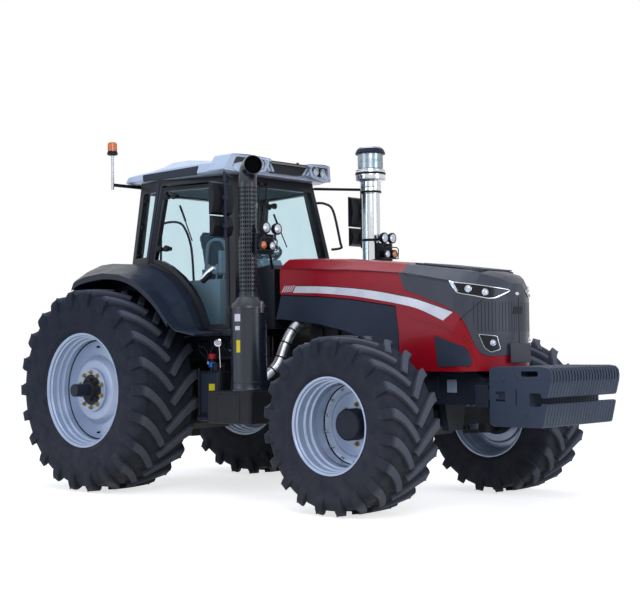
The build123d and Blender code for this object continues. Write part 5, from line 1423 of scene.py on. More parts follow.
@dataclass(frozen=True)
class Cab:
    """The cab's posts and doors, with their seals, caps, handles and wipers."""

    door_edge: tuple[Flat, ...] = (
        (0.310, 2.250), (0.430, 2.988), (1.206, 2.988), (1.436, 1.566), (1.092, 1.566), (1.062, 1.625),
        (0.960, 1.795), (0.860, 1.920), (0.720, 2.050), (0.560, 2.155), (0.430, 2.215))
    caps: tuple[Flat, ...] = ((0.475, 2.895), (0.575, 2.895), (0.415, 2.375), (0.515, 2.375))
    fender_edge: tuple[Flat, ...] = (
        (-0.382, 2.045), (-0.34, 2.075), (-0.2, 2.108), (0.08, 2.134), (0.34, 2.11), (0.54, 2.046),
        (0.72, 1.942), (0.89, 1.806), (1.04, 1.646))
    # The tail of a fender, and how much of what lies behind it is kept.
    fender_tail: float = -0.37
    tail_kept: float = 0.15

    # The side's three posts, rear to front: (ahead, out) at the floor and at the roof.
    POSTS = (((-0.140, 0.770), (0.060, 0.690)), ((0.155, 0.845), (0.390, 0.745)),
             ((1.522, 0.792), (1.272, 0.555)))
    FLOOR = 1.5
    HEIGHT = 1.56

    def side(self, x: float, z: float, out: float, sign: float) -> Vector:
        """A place on the cab's raked side.

        Args:
            x: distance ahead.
            z: height.
            out: how far it stands proud.
            sign: -1 on the right, 1 on the left.

        Returns:
            The point.
        """
        share = (z - self.FLOOR) / self.HEIGHT
        tail, rear, front = (Vector(low).lerp(Vector(high), share) for low, high in self.POSTS)
        if x < rear.x:
            rear, front = tail, rear
        along = (x - rear.x) / (front.x - rear.x)
        run = (front - rear).normalized()
        return at(x - run.y * out, sign * (rear.y + (front.y - rear.y) * along + run.x * out), z)

    def build(self) -> None:
        """Build the cab."""
        softened("cab_frame", CAB_PAINT, 0.005)
        softened("cowl", CAB_PAINT, 0.008)
        for side, sign in SIDES:
            softened(f"door_{side}", CAB_PAINT, 0.003)
            self.door(side, sign)
            softened(f"fender_{side}", FENDER_ABS, 0.004, self.shorten)
        self.posts()
        self.wipers()
        self.handrail()

    def shorten(self, point: Vector) -> None:
        """Draw a fender's tail in, so that it ends in an upright lip."""
        tail = REAR_AXLE.x + self.fender_tail
        if point.x < tail:
            point.x = tail + (point.x - tail) * self.tail_kept

    def door(self, side: str, sign: float) -> None:
        """Seal, hinge caps and handle of one door.

        Args:
            side: which door.
            sign: -1 on the right, 1 on the left.
        """
        body = f"door_{side}"
        seal = Shape()
        opening = rounded(shrunk(self.door_edge, 0.955, 0.972), 0.04)
        seal.prism(rounded(self.door_edge, 0.02), -0.004, 0.004,
                   lambda u, v, out: self.side(u, v, out, sign), holes=[opening])
        seal.build(f"door_seal_{side}", body, BLACK_NYLON)
        caps = Shape()
        for x, z in self.caps:
            centre = self.side(x, z, -0.025, sign)
            axis = (self.side(x, z, 0.03, sign) - centre).normalized()
            caps.spin([(0.0, 0.001), (0.0, 0.028), (0.034, 0.033), (0.042, 0.028), (0.046, 0.001)],
                      centre, axis, 28)
            caps.spin(hoop(-0.04, 0.0, 0.001, 0.02), centre, axis, 20)
        caps.build(f"door_caps_{side}", body, BLACK_NYLON)
        grip = Shape()
        bar = [self.side(*p, sign) for p in ((1.03, 2.05, 0.02), (1.10, 2.11, 0.028), (1.17, 2.155, 0.022))]
        foot = [self.side(*p, sign) for p in ((1.03, 2.03, 0.012), (1.13, 2.10, 0.018))]
        grip.tube(smooth_path(bar, 5), 0.022)
        grip.tube(smooth_path(foot, 3), 0.03, slot=1)
        grip.build(f"door_handle_{side}", body, CHROME, BLACK_NYLON)
        strut = Shape()
        for x, z, radius in ((0.80, 2.44, 0.006), (0.70, 2.64, 0.011)):
            strut.tube([self.side(0.62, 2.80, -0.05, sign), self.side(x, z, -0.05, sign)], radius)
        strut.build(f"door_strut_{side}", body, BLACK_NYLON)

    def posts(self) -> None:
        """Slate faces of the rear pillars, the fenders' linings, and the quarter windows' knobs."""
        posts, knobs = Shape(), Shape()
        for _, sign in SIDES:
            for foot, low, head, wide in ((0.285, 2.23, 0.405, 0.026), (0.262, 2.26, 0.375, 0.010)):
                outline = [(foot, low), (head, 3.04), (head - wide, 3.04), (foot - wide, low)]
                posts.prism(outline, -0.002, 0.007, lambda u, v, out: self.side(u, v, out, sign))
            for x, z in ((0.035, 2.33), (0.095, 2.62), (0.13, 2.88)):
                centre = self.side(x, z, -0.03, sign)
                axis = (self.side(x, z, 0.03, sign) - centre).normalized()
                knobs.spin([(0.0, 0.001), (0.0, 0.016), (0.026, 0.014), (0.03, 0.001)], centre, axis, 20)
            self.fender_linings(posts, sign)
        posts.build("pillar_faces", "chassis", FENDER_ABS, bevel=0.002)
        knobs.build("quarter_knobs", "chassis", BLACK_NYLON)

    def fender_linings(self, shape: Shape, sign: float) -> None:
        """The fender's wall beside the cab, its flap ahead of the tail and its outer lip.

        Args:
            shape: gets the three plates.
            sign: -1 on the right, 1 on the left.
        """
        wing = [(-0.38, 1.86), (0.02, 1.86), (0.02, 2.215), (-0.12, 2.215), (-0.3, 2.17), (-0.38, 2.11)]
        shape.prism(wing, 0.7105, 0.722, lambda u, v, y: at(u, sign * y, v))
        flap = [(0.72, 1.925), (1.19, 1.925), (1.214, 1.95), (1.214, 2.03), (1.05, 2.15), (0.87, 2.225),
                (0.72, 2.225)]
        shape.prism(flap, -0.386, -0.376, lambda u, v, x: at(x, sign * u, v))
        top = smooth_path(self.fender_edge, 3)
        lip = [(p.x, p.y - 0.004) for p in top] + [(p.x, p.y - 0.06) for p in reversed(top)]
        shape.prism(lip, 1.205, 1.2235, lambda u, v, y: at(u, sign * y, v))

    @staticmethod
    def wipers() -> None:
        """Two arms parked at the head of the windscreen."""
        arms = Shape()
        for y, lean in ((-0.38, 0.10), (-0.30, 0.12)):
            head, foot = at(1.345, y + lean, 2.985), at(1.415, y, 2.60)
            arms.tube([head, foot], 0.007)
            arms.tube([foot + Vector((-0.004, -0.01, -0.16)), foot + Vector((0.0, 0.01, 0.16))], 0.006)
            arms.spin(hoop(-0.03, 0.02, 0.001, 0.016), head, AHEAD, 16)
        arms.build("wiper_arms", "chassis", BLACK_NYLON)

    @staticmethod
    def handrail() -> None:
        """The hoop rail beside the left front pillar."""
        rail = Shape()
        path = [at(1.29, 0.585, 2.86), at(1.35, 0.66, 2.855), at(1.41, 0.72, 2.78), at(1.45, 0.78, 2.46),
                at(1.46, 0.78, 2.40), at(1.42, 0.68, 2.38)]
        rail.tube(smooth_path(path, 6), 0.013)
        rail.build("cab_handrail", "chassis", CAB_PAINT)


@dataclass(frozen=True)
class Interior:
    """The driver's seat and controls, seen through the glass."""

    voxel: float = 0.012
    pressure: float = 4.0
    settle_frames: int = 20
    most_swell: float = 0.024

    def build(self) -> None:
        """Build the inside of the cab."""
        softened("steering_console", CABIN_TRIM, 0.006)
        self.seat()
        self.controls()

    def seat(self) -> None:
        """The base's shroud, and the stuffed squab and back."""
        base = Shape()
        low, high = at(0.50, -0.19, 1.5603), at(0.90, 0.19, 1.90)
        base.box(low, Vector((high.x, high.y, 1.78)))
        base.box(Vector((low.x + 0.05, -0.16, 1.77)), Vector((high.x - 0.05, 0.16, 1.90)))
        base.build("seat_base", "chassis", CABIN_TRIM, bevel=0.02)
        squab = self.cushion("seat_squab", (0.70, 0.0, 1.945), (0.24, 0.245, 0.055), 0.0)
        back = self.cushion("seat_back", (0.475, 0.0, 2.30), (0.055, 0.235, 0.30), math.radians(-9))
        for piece in (squab, back):
            dress(piece, "chassis", [SEAT_CLOTH], subdivide=1, replaces=["seat"])
        arms = Shape()
        for y in (-0.27, 0.27):
            path = ((0.56, 2.18), (0.60, 2.44), (0.78, 2.47), (0.86, 2.36), (0.92, 2.20))
            arms.tube(smooth_path([at(x, y, z) for x, z in path], 6), 0.016)
        arms.box(at(0.56, -0.33, 2.12), at(0.93, -0.25, 2.18))
        arms.build("seat_arms", "chassis", CABIN_TRIM, bevel=0.006)

    def cushion(self, name: str, spot: Spot, half: Spot, lean: float) -> bpy.types.Object:
        """A stuffed pad: a rounded block that swells under its own pressure.

        Args:
            name: the pad's name.
            spot: its middle.
            half: half its length, width and height.
            lean: how far it leans back, in radians.

        Returns:
            The pad, its place in its mesh.
        """
        mesh = bpy.data.meshes.new(name)
        work = bmesh.new()
        bmesh.ops.create_cube(work, size=2.0)
        bmesh.ops.scale(work, vec=half, verts=work.verts)
        bmesh.ops.bevel(work, geom=work.edges[:], offset=min(half) * 0.6, segments=3, affect="EDGES")
        turn = Matrix.Rotation(lean, 4, "Y")
        bmesh.ops.transform(work, matrix=Matrix.Translation(at(*spot)) @ turn, verts=work.verts)
        work.to_mesh(mesh)
        work.free()
        pad = linked(bpy.data.objects.new(name, mesh))
        remesh = pad.modifiers.new("even", "REMESH")
        remesh.mode = "VOXEL"
        remesh.voxel_size = self.voxel
        settle(pad)
        start = [v.co.copy() for v in pad.data.vertices]
        cloth = pad.modifiers.new("stuffing", "CLOTH")
        cloth.settings.use_pressure = True
        cloth.settings.uniform_pressure_force = self.pressure
        cloth.settings.effector_weights.gravity = 0.0
        for number in range(1, self.settle_frames + 1):
            bpy.context.scene.frame_set(number)
        settle(pad)
        bpy.context.scene.frame_set(1)
        for vertex, was in zip(pad.data.vertices, start):
            moved = vertex.co - was
            if moved.length > self.most_swell:
                vertex.co = was + moved.normalized() * self.most_swell
        return pad

    @staticmethod
    def controls() -> None:
        """Levers on the right-hand console, a screen, and the head lining."""
        trim = Shape()
        trim.box(at(0.55, -0.52, 1.5603), at(1.02, -0.36, 2.06))
        trim.box(at(0.55, 0.36, 1.5603), at(0.95, 0.52, 2.02))
        trim.box(at(0.98, -0.50, 2.12), at(1.02, -0.28, 2.34))
        trim.tube([at(0.98, -0.44, 2.04), at(1.00, -0.42, 2.16)], 0.012)
        for x, y in ((0.80, -0.47), (0.86, -0.42), (0.92, -0.47)):
            trim.tube([at(x, y, 2.05), at(x + 0.02, y, 2.17)], 0.007)
            trim.spin([(0.0, 0.001), (0.0, 0.018), (0.03, 0.022), (0.05, 0.016), (0.055, 0.001)],
                      at(x + 0.02, y, 2.16), steps=16)
        trim.tube([at(1.16, -0.20, 1.62), at(1.08, -0.24, 1.80), at(1.06, -0.25, 1.98)], 0.012)
        trim.build("cab_controls", "chassis", CABIN_TRIM, bevel=0.006)
        rail = Shape()
        rail.tube(smooth_path([at(x, -0.45, z) for x, z in (
            (0.06, 1.62), (0.075, 2.42), (0.084, 2.62), (0.135, 2.671), (0.327, 2.668), (0.44, 2.60),
            (0.536, 2.396), (0.57, 2.05))], 4), 0.012)
        rail.build("seat_rail", "chassis", FRAME_COAT)
        lining = Shape()
        lining.box(at(0.16, -0.60, 2.962), at(1.20, 0.60, 2.998))
        lining.build("head_lining", "chassis", SEAT_CLOTH, bevel=0.01)


# ---- Stacks ------------------------------------------------------------------------


@dataclass(frozen=True)
class ExhaustStack:
    """The upright exhaust: silencer drum, slotted guard and turned-out mouth."""

    x: float = 1.85
    y: float = -0.95
    drum: float = 0.165
    guard: float = 0.084
    guard_foot: float = 1.845
    guard_top: float = 2.86
    sheet: float = 0.004
    cells_round: int = 24
    cells_up: int = 26
    elbow_foot: float = 2.88
    bend: float = 0.15
    mouth: float = 0.22
    facing: float = -31.0

    # A guard cell's uprights and levels, as shares of it; the middle field is the slot.
    CELL_TURNS = (-0.5, -0.27, 0.27, 0.5)
    CELL_LEVELS = (0.0, 0.22, 0.78, 1.0)

    @property
    def foot(self) -> Vector:
        """The stack's place on the ground."""
        return at(self.x, self.y, 0.0)

    def build(self) -> None:
        """Build the stack."""
        drum = Shape()
        drum.spin([(0.996, 0.001), (0.996, 0.178), (1.010, 0.179), (1.012, 0.168), (1.020, 0.165),
                   (1.068, 0.165), (1.071, 0.168), (1.077, 0.168), (1.080, 0.165), (1.735, 0.165),
                   (1.738, 0.169), (1.750, 0.169), (1.765, 0.164), (1.845, 0.097), (1.845, 0.001)], self.foot)
        drum.build("silencer_drum", "chassis", STACK_ENAMEL, angle=24, replaces=["muffler"])
        nut = Shape()
        nut.peg(AHEAD * 0.150, AHEAD, ACROSS, 0.011, UP * 0.012)
        nut.repeat("silencer_bolts", "chassis", ZINC_YELLOW, 10, turn=(0, 0, math.pi / 5),
                   centre=at(self.x, self.y, 1.008))
        self.inner_pipe()
        self.slotted_guard()
        self.clamps()
        self.elbow()
        tags = Shape()
        for turn, half, low, high, slot in ((-83, 11, 1.625, 1.69, 0), (-83, 9, 1.545, 1.582, 0),
                                            (-80, 7, 1.345, 1.455, 1)):
            self.tag(tags, turn, half, low, high, slot)
        tags.build("silencer_labels", "chassis", WHITE_LABEL, YELLOW_LABEL)
        strap = Shape()
        self.tag(strap, -2, 5, 1.70, 1.80, 0, 0.02)
        strap.build("silencer_strap", "chassis", SHAFT_STEEL, bevel=0.002)

    def tag(self, shape: Shape, turn: float, half: float, low: float, high: float, slot: int,
            stand: float = 0.0015) -> None:
        """A sheet wrapped on the drum.

        Args:
            shape: gets the sheet.
            turn: its middle, in degrees from straight ahead.
            half: half its width, in degrees.
            low: its lower edge.
            high: its upper edge.
            slot: number of the finish.
            stand: how far it stands proud.
        """
        angles = [math.radians(turn - half + 2 * half * k / 5) for k in range(6)]
        outline = [(a, low) for a in angles] + [(a, high) for a in reversed(angles)]
        shape.prism(outline, self.drum - 0.002, self.drum + stand, lambda a, z, r: at(
            self.x + r * math.cos(a), self.y + r * math.sin(a), z), slot=slot)

    def inner_pipe(self) -> None:
        """The black pipe inside the guard, dead black as painted shade seen through the slots."""
        inner = Shape()
        path = [self.foot + UP * self.guard_foot, self.foot + UP * (self.guard_top + 0.01)]
        inner.tube(path, self.guard - 0.014, count=48)
        # Dead black: a dark pipe, with painted shade inside the guard.
        inner.build("exhaust_inner_pipe", "chassis", SOOT_AND_SHADE)

    def slotted_guard(self) -> None:
        """The guard: one cell of sheet round an upright slot, repeated round and up."""
        step = 2 * math.pi / self.cells_round
        rise = (self.guard_top - self.guard_foot) / self.cells_up
        corner, points = {}, []
        for i, radius in enumerate((self.guard, self.guard - self.sheet)):
            for j, turn in enumerate(self.CELL_TURNS):
                for k, level in enumerate(self.CELL_LEVELS):
                    corner[i, j, k] = len(points)
                    flat = (radius * math.cos(turn * step), radius * math.sin(turn * step))
                    points.append((*flat, level * rise))
        faces = [
            (corner[i, j, k], corner[i, j + 1, k], corner[i, j + 1, k + 1], corner[i, j, k + 1])
            for i in (0, 1) for j in range(3) for k in range(3) if (j, k) != (1, 1)
        ]
        for (j, k), (m, n) in (((1, 1), (2, 1)), ((2, 1), (2, 2)), ((2, 2), (1, 2)), ((1, 2), (1, 1))):
            faces.append((corner[0, j, k], corner[0, m, n], corner[1, m, n], corner[1, j, k]))
        cell = Shape()
        cell.add(points, faces)
        cell.repeat("exhaust_guard", "chassis", STACK_ENAMEL, self.cells_round, turn=(0, 0, step),
                    centre=self.foot + UP * self.guard_foot, rows=(self.cells_up, (0.0, 0.0, rise)),
                    replaces=["exhaust_stack"])

    def clamps(self) -> None:
        """The bands round the guard, and the middle one's bolt block."""
        band = Shape()
        for z, tall in ((self.guard_foot + 0.01, 0.03), (2.44, 0.026), (self.guard_top, 0.03)):
            band.spin(hoop(z - tall / 2, z + tall / 2, 0.083, 0.088), self.foot, steps=64)
        band.box(at(self.x + 0.075, self.y - 0.06, 2.43), at(self.x + 0.105, self.y - 0.03, 2.45))
        band.build("exhaust_clamps", "chassis", STACK_ENAMEL, bevel=0.001)

    def elbow(self) -> None:
        """The turned-out mouth, and a dead-black disc in its bore: blackened by exhaust, and painted shade of
        the bore beyond.
        """
        turn, bend = math.radians(self.facing), self.bend
        ahead = Vector((math.cos(turn), math.sin(turn), 0.0))
        across = UP.cross(ahead)
        path = [self.foot + UP * self.guard_top]
        for k in range(13):
            a = math.radians(7.5 * k)
            reach, climb = bend - bend * math.cos(a), bend * math.sin(a)
            path.append(self.foot + UP * self.elbow_foot + ahead * reach + UP * climb)
        path.append(self.foot + UP * (self.elbow_foot + bend) + ahead * self.mouth)
        stations = []
        for i, point in enumerate(path):
            run = (path[min(i + 1, len(path) - 1)] - path[max(i - 1, 0)]).normalized()
            stations.append((point, across, run.cross(across)))
        outer = [ring(*station, self.guard + 0.001, 48) for station in stations]
        bore = [ring(*station, self.guard - self.sheet, 48) for station in reversed(stations)]
        mouth = Shape()
        mouth.loft(outer + bore, loop=True)
        mouth.build("exhaust_elbow", "chassis", STACK_ENAMEL)
        # A dead-black disc across the bore: real blackening, and painted shade where the bore runs on out of
        # sight.
        soot = Shape()
        soot.loft([[p - ahead * 0.02 for p in bore[0]], [p - ahead * 0.03 for p in bore[0]]])
        soot.build("exhaust_soot", "chassis", SOOT_AND_SHADE)


@dataclass(frozen=True)
class IntakeStack:
    """The upright intake: polished pipe, clamps, collar and pre-cleaner bowl."""

    x: float = 1.85
    y: float = 0.80

    @property
    def foot(self) -> Vector:
        """The stack's place on the ground."""
        return at(self.x, self.y, 0.0)

    def build(self) -> None:
        """Build the intake."""
        softened("intake_stack", SHAFT_STEEL, 0.004)
        metal = Shape()
        metal.spin([(2.02, 0.05), (2.02, 0.100), (2.06, 0.0985), (2.07, 0.0925), (2.44, 0.0925),
                    (2.443, 0.096), (2.465, 0.096), (2.468, 0.0925), (2.92, 0.0925), (2.925, 0.106),
                    (2.955, 0.106),
                    (2.958, 0.1055), (2.985, 0.1055), (2.99, 0.110), (3.00, 0.110), (3.005, 0.1055),
                    (3.045, 0.1055), (3.06, 0.130), (3.07, 0.151), (3.10, 0.153), (3.14, 0.153),
                    (3.165, 0.147), (3.175, 0.128), (3.185, 0.120), (3.185, 0.05)], self.foot)
        metal.spin([(3.326, 0.05), (3.326, 0.151), (3.336, 0.153), (3.346, 0.149), (3.375, 0.135),
                    (3.396, 0.09), (3.404, 0.001), (3.39, 0.001)], self.foot, slot=1)
        metal.spin([(3.18, 0.04), (3.18, 0.078), (3.20, 0.082), (3.30, 0.082), (3.33, 0.078), (3.33, 0.04)],
                   self.foot, steps=64)
        metal.build("intake_pipe", "chassis", CHROME, FRAME_COAT, angle=28)
        bowl = Shape()
        wall = [(3.176, 0.128), (3.20, 0.1285), (3.25, 0.129), (3.30, 0.1285), (3.328, 0.128)]
        bowl.spin(walled(wall, 0.003), self.foot)
        bowl.build("intake_bowl", "chassis", CAB_GLASS)
        vane = Shape()
        vane.prism([(0.084, -0.004), (0.122, -0.004), (0.122, 0.004), (0.084, 0.004)], 3.19, 3.32,
                   lambda u, v, z: Vector((u, v, z)))
        vane.repeat("intake_vanes", "chassis", CHROME, 16, turn=(0, 0, math.pi / 8), centre=self.foot)
        rims = Shape()
        for z, out in ((2.455, 0.098), (2.94, 0.108), (3.125, 0.1545)):
            rims.spin(hoop(z - 0.012, z + 0.012, out - 0.006, out), self.foot, steps=72)
        rims.box(at(self.x + 0.085, self.y - 0.06, 2.445), at(self.x + 0.12, self.y - 0.03, 2.465))
        rims.build("intake_clamps", "chassis", BLACK_NYLON, bevel=0.001)


# ---- Lamps, mirrors and beacon -------------------------------------------------------


@dataclass(frozen=True)
class Fittings:
    """Side lamps, mirrors and the beacon."""

    # Middle of each lamp's face: ahead, out and up; radius; whether it is amber.
    side_lamps: tuple[tuple[float, float, float, float, bool], ...] = (
        (2.040, 0.906, 2.471, 0.052, False), (2.050, 0.769, 2.466, 0.052, False),
        (2.035, 0.939, 2.312, 0.042, True), (2.037, 0.826, 2.308, 0.042, False))

    def build(self) -> None:
        """Build the fittings."""
        softened("mirrors", BLACK_NYLON, 0.014)
        rings, clear, amber, cage = Shape(), Shape(), Shape(), Shape()
        for _, sign in SIDES:
            for x, y, z, radius, warm in self.side_lamps:
                centre = at(x - 0.006, sign * y, z)
                rings.spin([(-0.055, 0.001), (-0.055, radius * 0.45), (-0.03, radius * 0.9),
                            (-0.004, radius + 0.003), (0.012, radius + 0.002), (0.014, radius - 0.006),
                            (0.0, 0.001)], centre, AHEAD, 40)
                lens = amber if warm else clear
                lens.spin([(0.0, 0.0004), (0.024, 0.0004), (0.022, radius * 0.4), (0.013, radius * 0.8),
                           (0.004, radius - 0.005), (0.0, radius - 0.005)], centre, AHEAD, 40)
            loop = [(2.045, 0.775, 2.262), (2.05, 0.775, 2.362), (2.05, 0.80, 2.378), (2.05, 0.96, 2.378),
                    (2.05, 0.985, 2.362), (2.045, 0.985, 2.262)]
            cage.tube([at(x, sign * y, z) for x, y, z in loop], 0.006)
            cage.box(at(1.985, sign * 0.88 - 0.107, 2.262), at(2.052, sign * 0.88 + 0.107, 2.27))
            for x, y, z, radius, _ in self.side_lamps[:2]:
                cage.tube([at(x - 0.03, sign * y, z - radius + 0.01), at(x - 0.03, sign * y, 2.36)], 0.010)
            arm = [at(1.66, sign * 0.44, 2.13), at(1.80, sign * 0.60, 2.20), at(1.98, sign * 0.80, 2.262)]
            rings.tube(smooth_path(arm, 5), 0.013)
            rings.box(at(1.955, sign * 0.86 - 0.11, 2.235), at(1.985, sign * 0.86 + 0.11, 2.42))
        rings.build("side_lamp_rings", "chassis", BLACK_NYLON, replaces=["work_lamps"])
        clear.build("side_lamp_lenses", "chassis", LAMP_CORE)
        amber.build("indicator_lenses", "chassis", AMBER_LENS)
        cage.build("side_lamp_cages", "chassis", LINK_PAINT, bevel=0.001)
        self.mirror_bars()
        self.beacon()

    @staticmethod
    def mirror_bars() -> None:
        """The upright bar over each pair of mirror heads, with its clips."""
        bars = Shape()
        for _, sign in SIDES:
            bars.tube([at(1.583, sign * 0.978, 2.405), at(1.583, sign * 0.978, 3.01)], 0.012)
            for z in (2.515, 2.775):
                bars.box(at(1.552, sign * 0.978 - 0.03, z - 0.02), at(1.594, sign * 0.978 + 0.03, z + 0.02))
        bars.build("mirror_bars", "chassis", FENDER_ABS, bevel=0.004)

    @staticmethod
    def beacon() -> None:
        """The amber beacon on its pole, behind the cab."""
        foot = at(-0.085, -0.95, 0.0)
        softened("beacon", BLACK_NYLON, 0.002)
        pole = Shape()
        pole.spin(hoop(2.996, 3.352, 0.001, 0.0155), foot, steps=24)
        pole.build("beacon_pole", "chassis", SHAFT_STEEL)
        base = Shape()
        base.spin([(3.345, 0.001), (3.345, 0.040), (3.352, 0.0535), (3.366, 0.0535), (3.372, 0.047),
                   (3.386, 0.0465), (3.386, 0.001)], foot, steps=40)
        base.build("beacon_base", "chassis", BLACK_NYLON)
        dome = Shape()
        dome.spin([(3.384, 0.001), (3.384, 0.0455), (3.462, 0.0455), (3.473, 0.041), (3.479, 0.028),
                   (3.481, 0.001)], foot, steps=40)
        dome.build("beacon_dome", "chassis", AMBER_LENS)
        rib = Shape()
        rib.box(Vector((0.044, -0.0016, 0.0)), Vector((0.0475, 0.0016, 0.072)))
        rib.repeat("beacon_ribs", "chassis", AMBER_LENS, 28, turn=(0, 0, math.pi / 14),
                   centre=foot + UP * 3.388)


# ---- Running gear ---------------------------------------------------------------------


@dataclass(frozen=True)
class Chassis:
    """Frame, axles, engine, tanks, steps and linkage, with their bolts and small plates."""

    castings: tuple[str, ...] = (
        "rear_axle_housing", "front_axle", "knuckle_right", "knuckle_left", "rear_hub_right", "rear_hub_left",
        "transmission", "engine")
    forgings: tuple[str, ...] = ("lift_arms", "lift_rods", "lower_links", "rear_coupling", "steering_rod")
    # Ahead of this the weight carrier's ends are drawn in, to this half width.
    carrier: float = 4.15
    carrier_half: float = 0.517

    def build(self) -> None:
        """Build the running gear."""
        for node in self.castings:
            softened(node, CAST_IRON, 0.005)
        for node in self.forgings:
            softened(node, LINK_PAINT, 0.004)
        for side, _ in SIDES:
            softened(f"front_hub_{side}", FRAME_COAT, 0.004)
        softened("front_frame", FRAME_COAT, 0.006, self.trim)
        softened("side_panels", MESH_SHEET, 0.003)
        softened("side_tanks", BLACK_NYLON, 0.012)
        softened("fuel_tank", BLACK_NYLON, 0.02)
        softened("steps", FRAME_COAT, 0.003)
        self.engine_bay()
        self.tank_fittings()
        self.hoses()
        self.tank_label()
        self.frame_fittings()

    def trim(self, point: Vector) -> None:
        """Draw the carrier's ends in from the outer ballast plates."""
        if point.x > REAR_AXLE.x + self.carrier:
            point.y = max(min(point.y, self.carrier_half), -self.carrier_half)

    @staticmethod
    def engine_bay() -> None:
        """Pipes, a filter and boxes that show below the side panel."""
        dark, bright, bands = Shape(), Shape(), Shape()
        for _, sign in SIDES:
            for x in (2.10, 2.30, 2.50, 2.70, 2.90, 3.10):
                dark.box(at(x, sign * 0.30 - 0.03, 1.26), at(x + 0.09, sign * 0.30 + 0.03, 1.56))
            dark.tube([at(1.98, sign * 0.33, 1.30), at(3.12, sign * 0.33, 1.24)], 0.022)
            dark.tube([at(1.98, sign * 0.34, 1.20), at(3.0, sign * 0.34, 1.14)], 0.014)
            dark.spin([(1.17, 0.001), (1.17, 0.05), (1.18, 0.055), (1.36, 0.055), (1.37, 0.03),
                       (1.37, 0.001)], at(2.62, sign * 0.36, 0.0), steps=32)
            line = ((2.0, 0.36, 1.42), (2.4, 0.36, 1.46), (2.9, 0.35, 1.40))
            bright.tube([at(x, sign * y, z) for x, y, z in line], 0.009)
            dark.box(at(-0.10, sign * 0.46 - 0.11, 1.27), at(1.20, sign * 0.46 + 0.11, 1.498))
        dark.box(at(2.05, -0.26, 1.78), at(2.85, 0.26, 1.905))
        route = smooth_path([at(2.0, -0.29, 1.62), at(1.955, -0.44, 1.58), at(1.935, -0.56, 1.42),
                             at(1.915, -0.65, 1.23), at(1.865, -0.80, 1.09)], 6)
        pipe = Shape()
        pipe.tube(route, 0.048, count=28)
        pipe.build("exhaust_link_pipe", "chassis", BARE_TUBE, replaces=["exhaust_pipe"])
        for k in (8, 12, 16, 20):
            run = (route[k + 1] - route[k - 1]).normalized()
            bands.spin(hoop(-0.007, 0.007, 0.045, 0.0515), route[k], run, 32)
        dark.build("engine_side_gear", "chassis", CAST_IRON, bevel=0.004)
        bright.build("engine_lines", "chassis", SHAFT_STEEL)
        bands.build("exhaust_pipe_bands", "chassis", LINK_PAINT)

    @staticmethod
    def tank_fittings() -> None:
        """Caps, gauge and ribs of the side tanks."""
        caps = Shape()
        for x, y, z, radius, slot in ((1.21, -0.80, 1.235, 0.04, 0), (1.175, -0.77, 1.315, 0.038, 1)):
            caps.spin(hoop(1.16, z - 0.02, 0.001, radius * 0.75), at(x, y, 0.0), steps=24, slot=2)
            caps.spin([(-0.03, 0.001), (-0.03, radius), (0.012, radius), (0.018, radius * 0.8),
                       (0.018, 0.001)], at(x, y, z), steps=36, slot=slot)
        caps.build("tank_caps", "chassis", BLUE_CAP, RED_CAP, BLACK_NYLON, bevel=0.002)
        gauge = Shape()
        gauge.tube([at(1.35, -0.83, 1.165), at(1.353, -0.85, 1.42)], 0.005, slot=1)
        face = (at(1.353, -0.865, 1.437), Vector((0.64, -0.77, 0)))
        gauge.spin([(-0.014, 0.001), (-0.014, 0.036), (0.006, 0.036), (0.008, 0.029), (0.0, 0.028),
                    (0.0, 0.001)], *face, 32, slot=1)
        gauge.spin(hoop(0.0, 0.004, 0.0005, 0.029), *face, 32)
        gauge.build("tank_gauge", "chassis", WHITE_LABEL, CHROME)
        ribs = Shape()
        ribs.box(at(1.135, -0.887, 0.78), at(1.37, -0.875, 1.15))
        for x in (1.095, 1.385):
            ribs.box(at(x, -0.891, 0.74), at(x + 0.02, -0.875, 1.20), slot=1)
        ribs.box(at(1.085, -0.898, 0.705), at(1.405, -0.875, 0.738))
        ribs.box(at(1.60, -1.126, 0.72), at(1.90, -1.112, 0.97), slot=1)
        ribs.build("tank_ribs", "chassis", FENDER_ABS, BLACK_NYLON, bevel=0.006)

    @staticmethod
    def hoses() -> None:
        """Hoses with bright ferrules, and a bar, in the gap below the cab."""
        hoses = Shape()
        for path in (((0.90, -0.58, 1.46), (0.93, -0.66, 1.41), (1.01, -0.68, 1.35), (1.02, -0.68, 1.22)),
                     ((1.12, -0.58, 1.46), (1.13, -0.68, 1.42), (1.08, -0.70, 1.35), (1.13, -0.70, 1.27)),
                     ((0.82, -0.58, 1.44), (0.86, -0.64, 1.37), (0.95, -0.66, 1.31), (1.06, -0.66, 1.20)),
                     ((1.26, -0.58, 1.45), (1.25, -0.67, 1.41), (1.29, -0.70, 1.37), (1.38, -0.70, 1.36))):
            line = smooth_path([at(*p) for p in path], 4)
            hoses.tube(line, 0.010)
            for k in (2, len(line) - 2):
                run = (line[k + 1] - line[k - 1]).normalized()
                hoses.spin(hoop(-0.014, 0.014, 0.001, 0.015), line[k], run, 12, slot=1)
        hoses.tube([at(1.17, -0.72, 1.295), at(1.44, -0.72, 1.29)], 0.008)
        hoses.build("cab_hoses", "chassis", FRAME_COAT, SHAFT_STEEL)

    @staticmethod
    def tank_label() -> None:
        """A blank label on the right tank."""
        label = Shape()
        label.box(at(1.255, -0.8945, 0.985), at(1.33, -0.886, 1.05))
        label.build("tank_label", "chassis", YELLOW_LABEL)

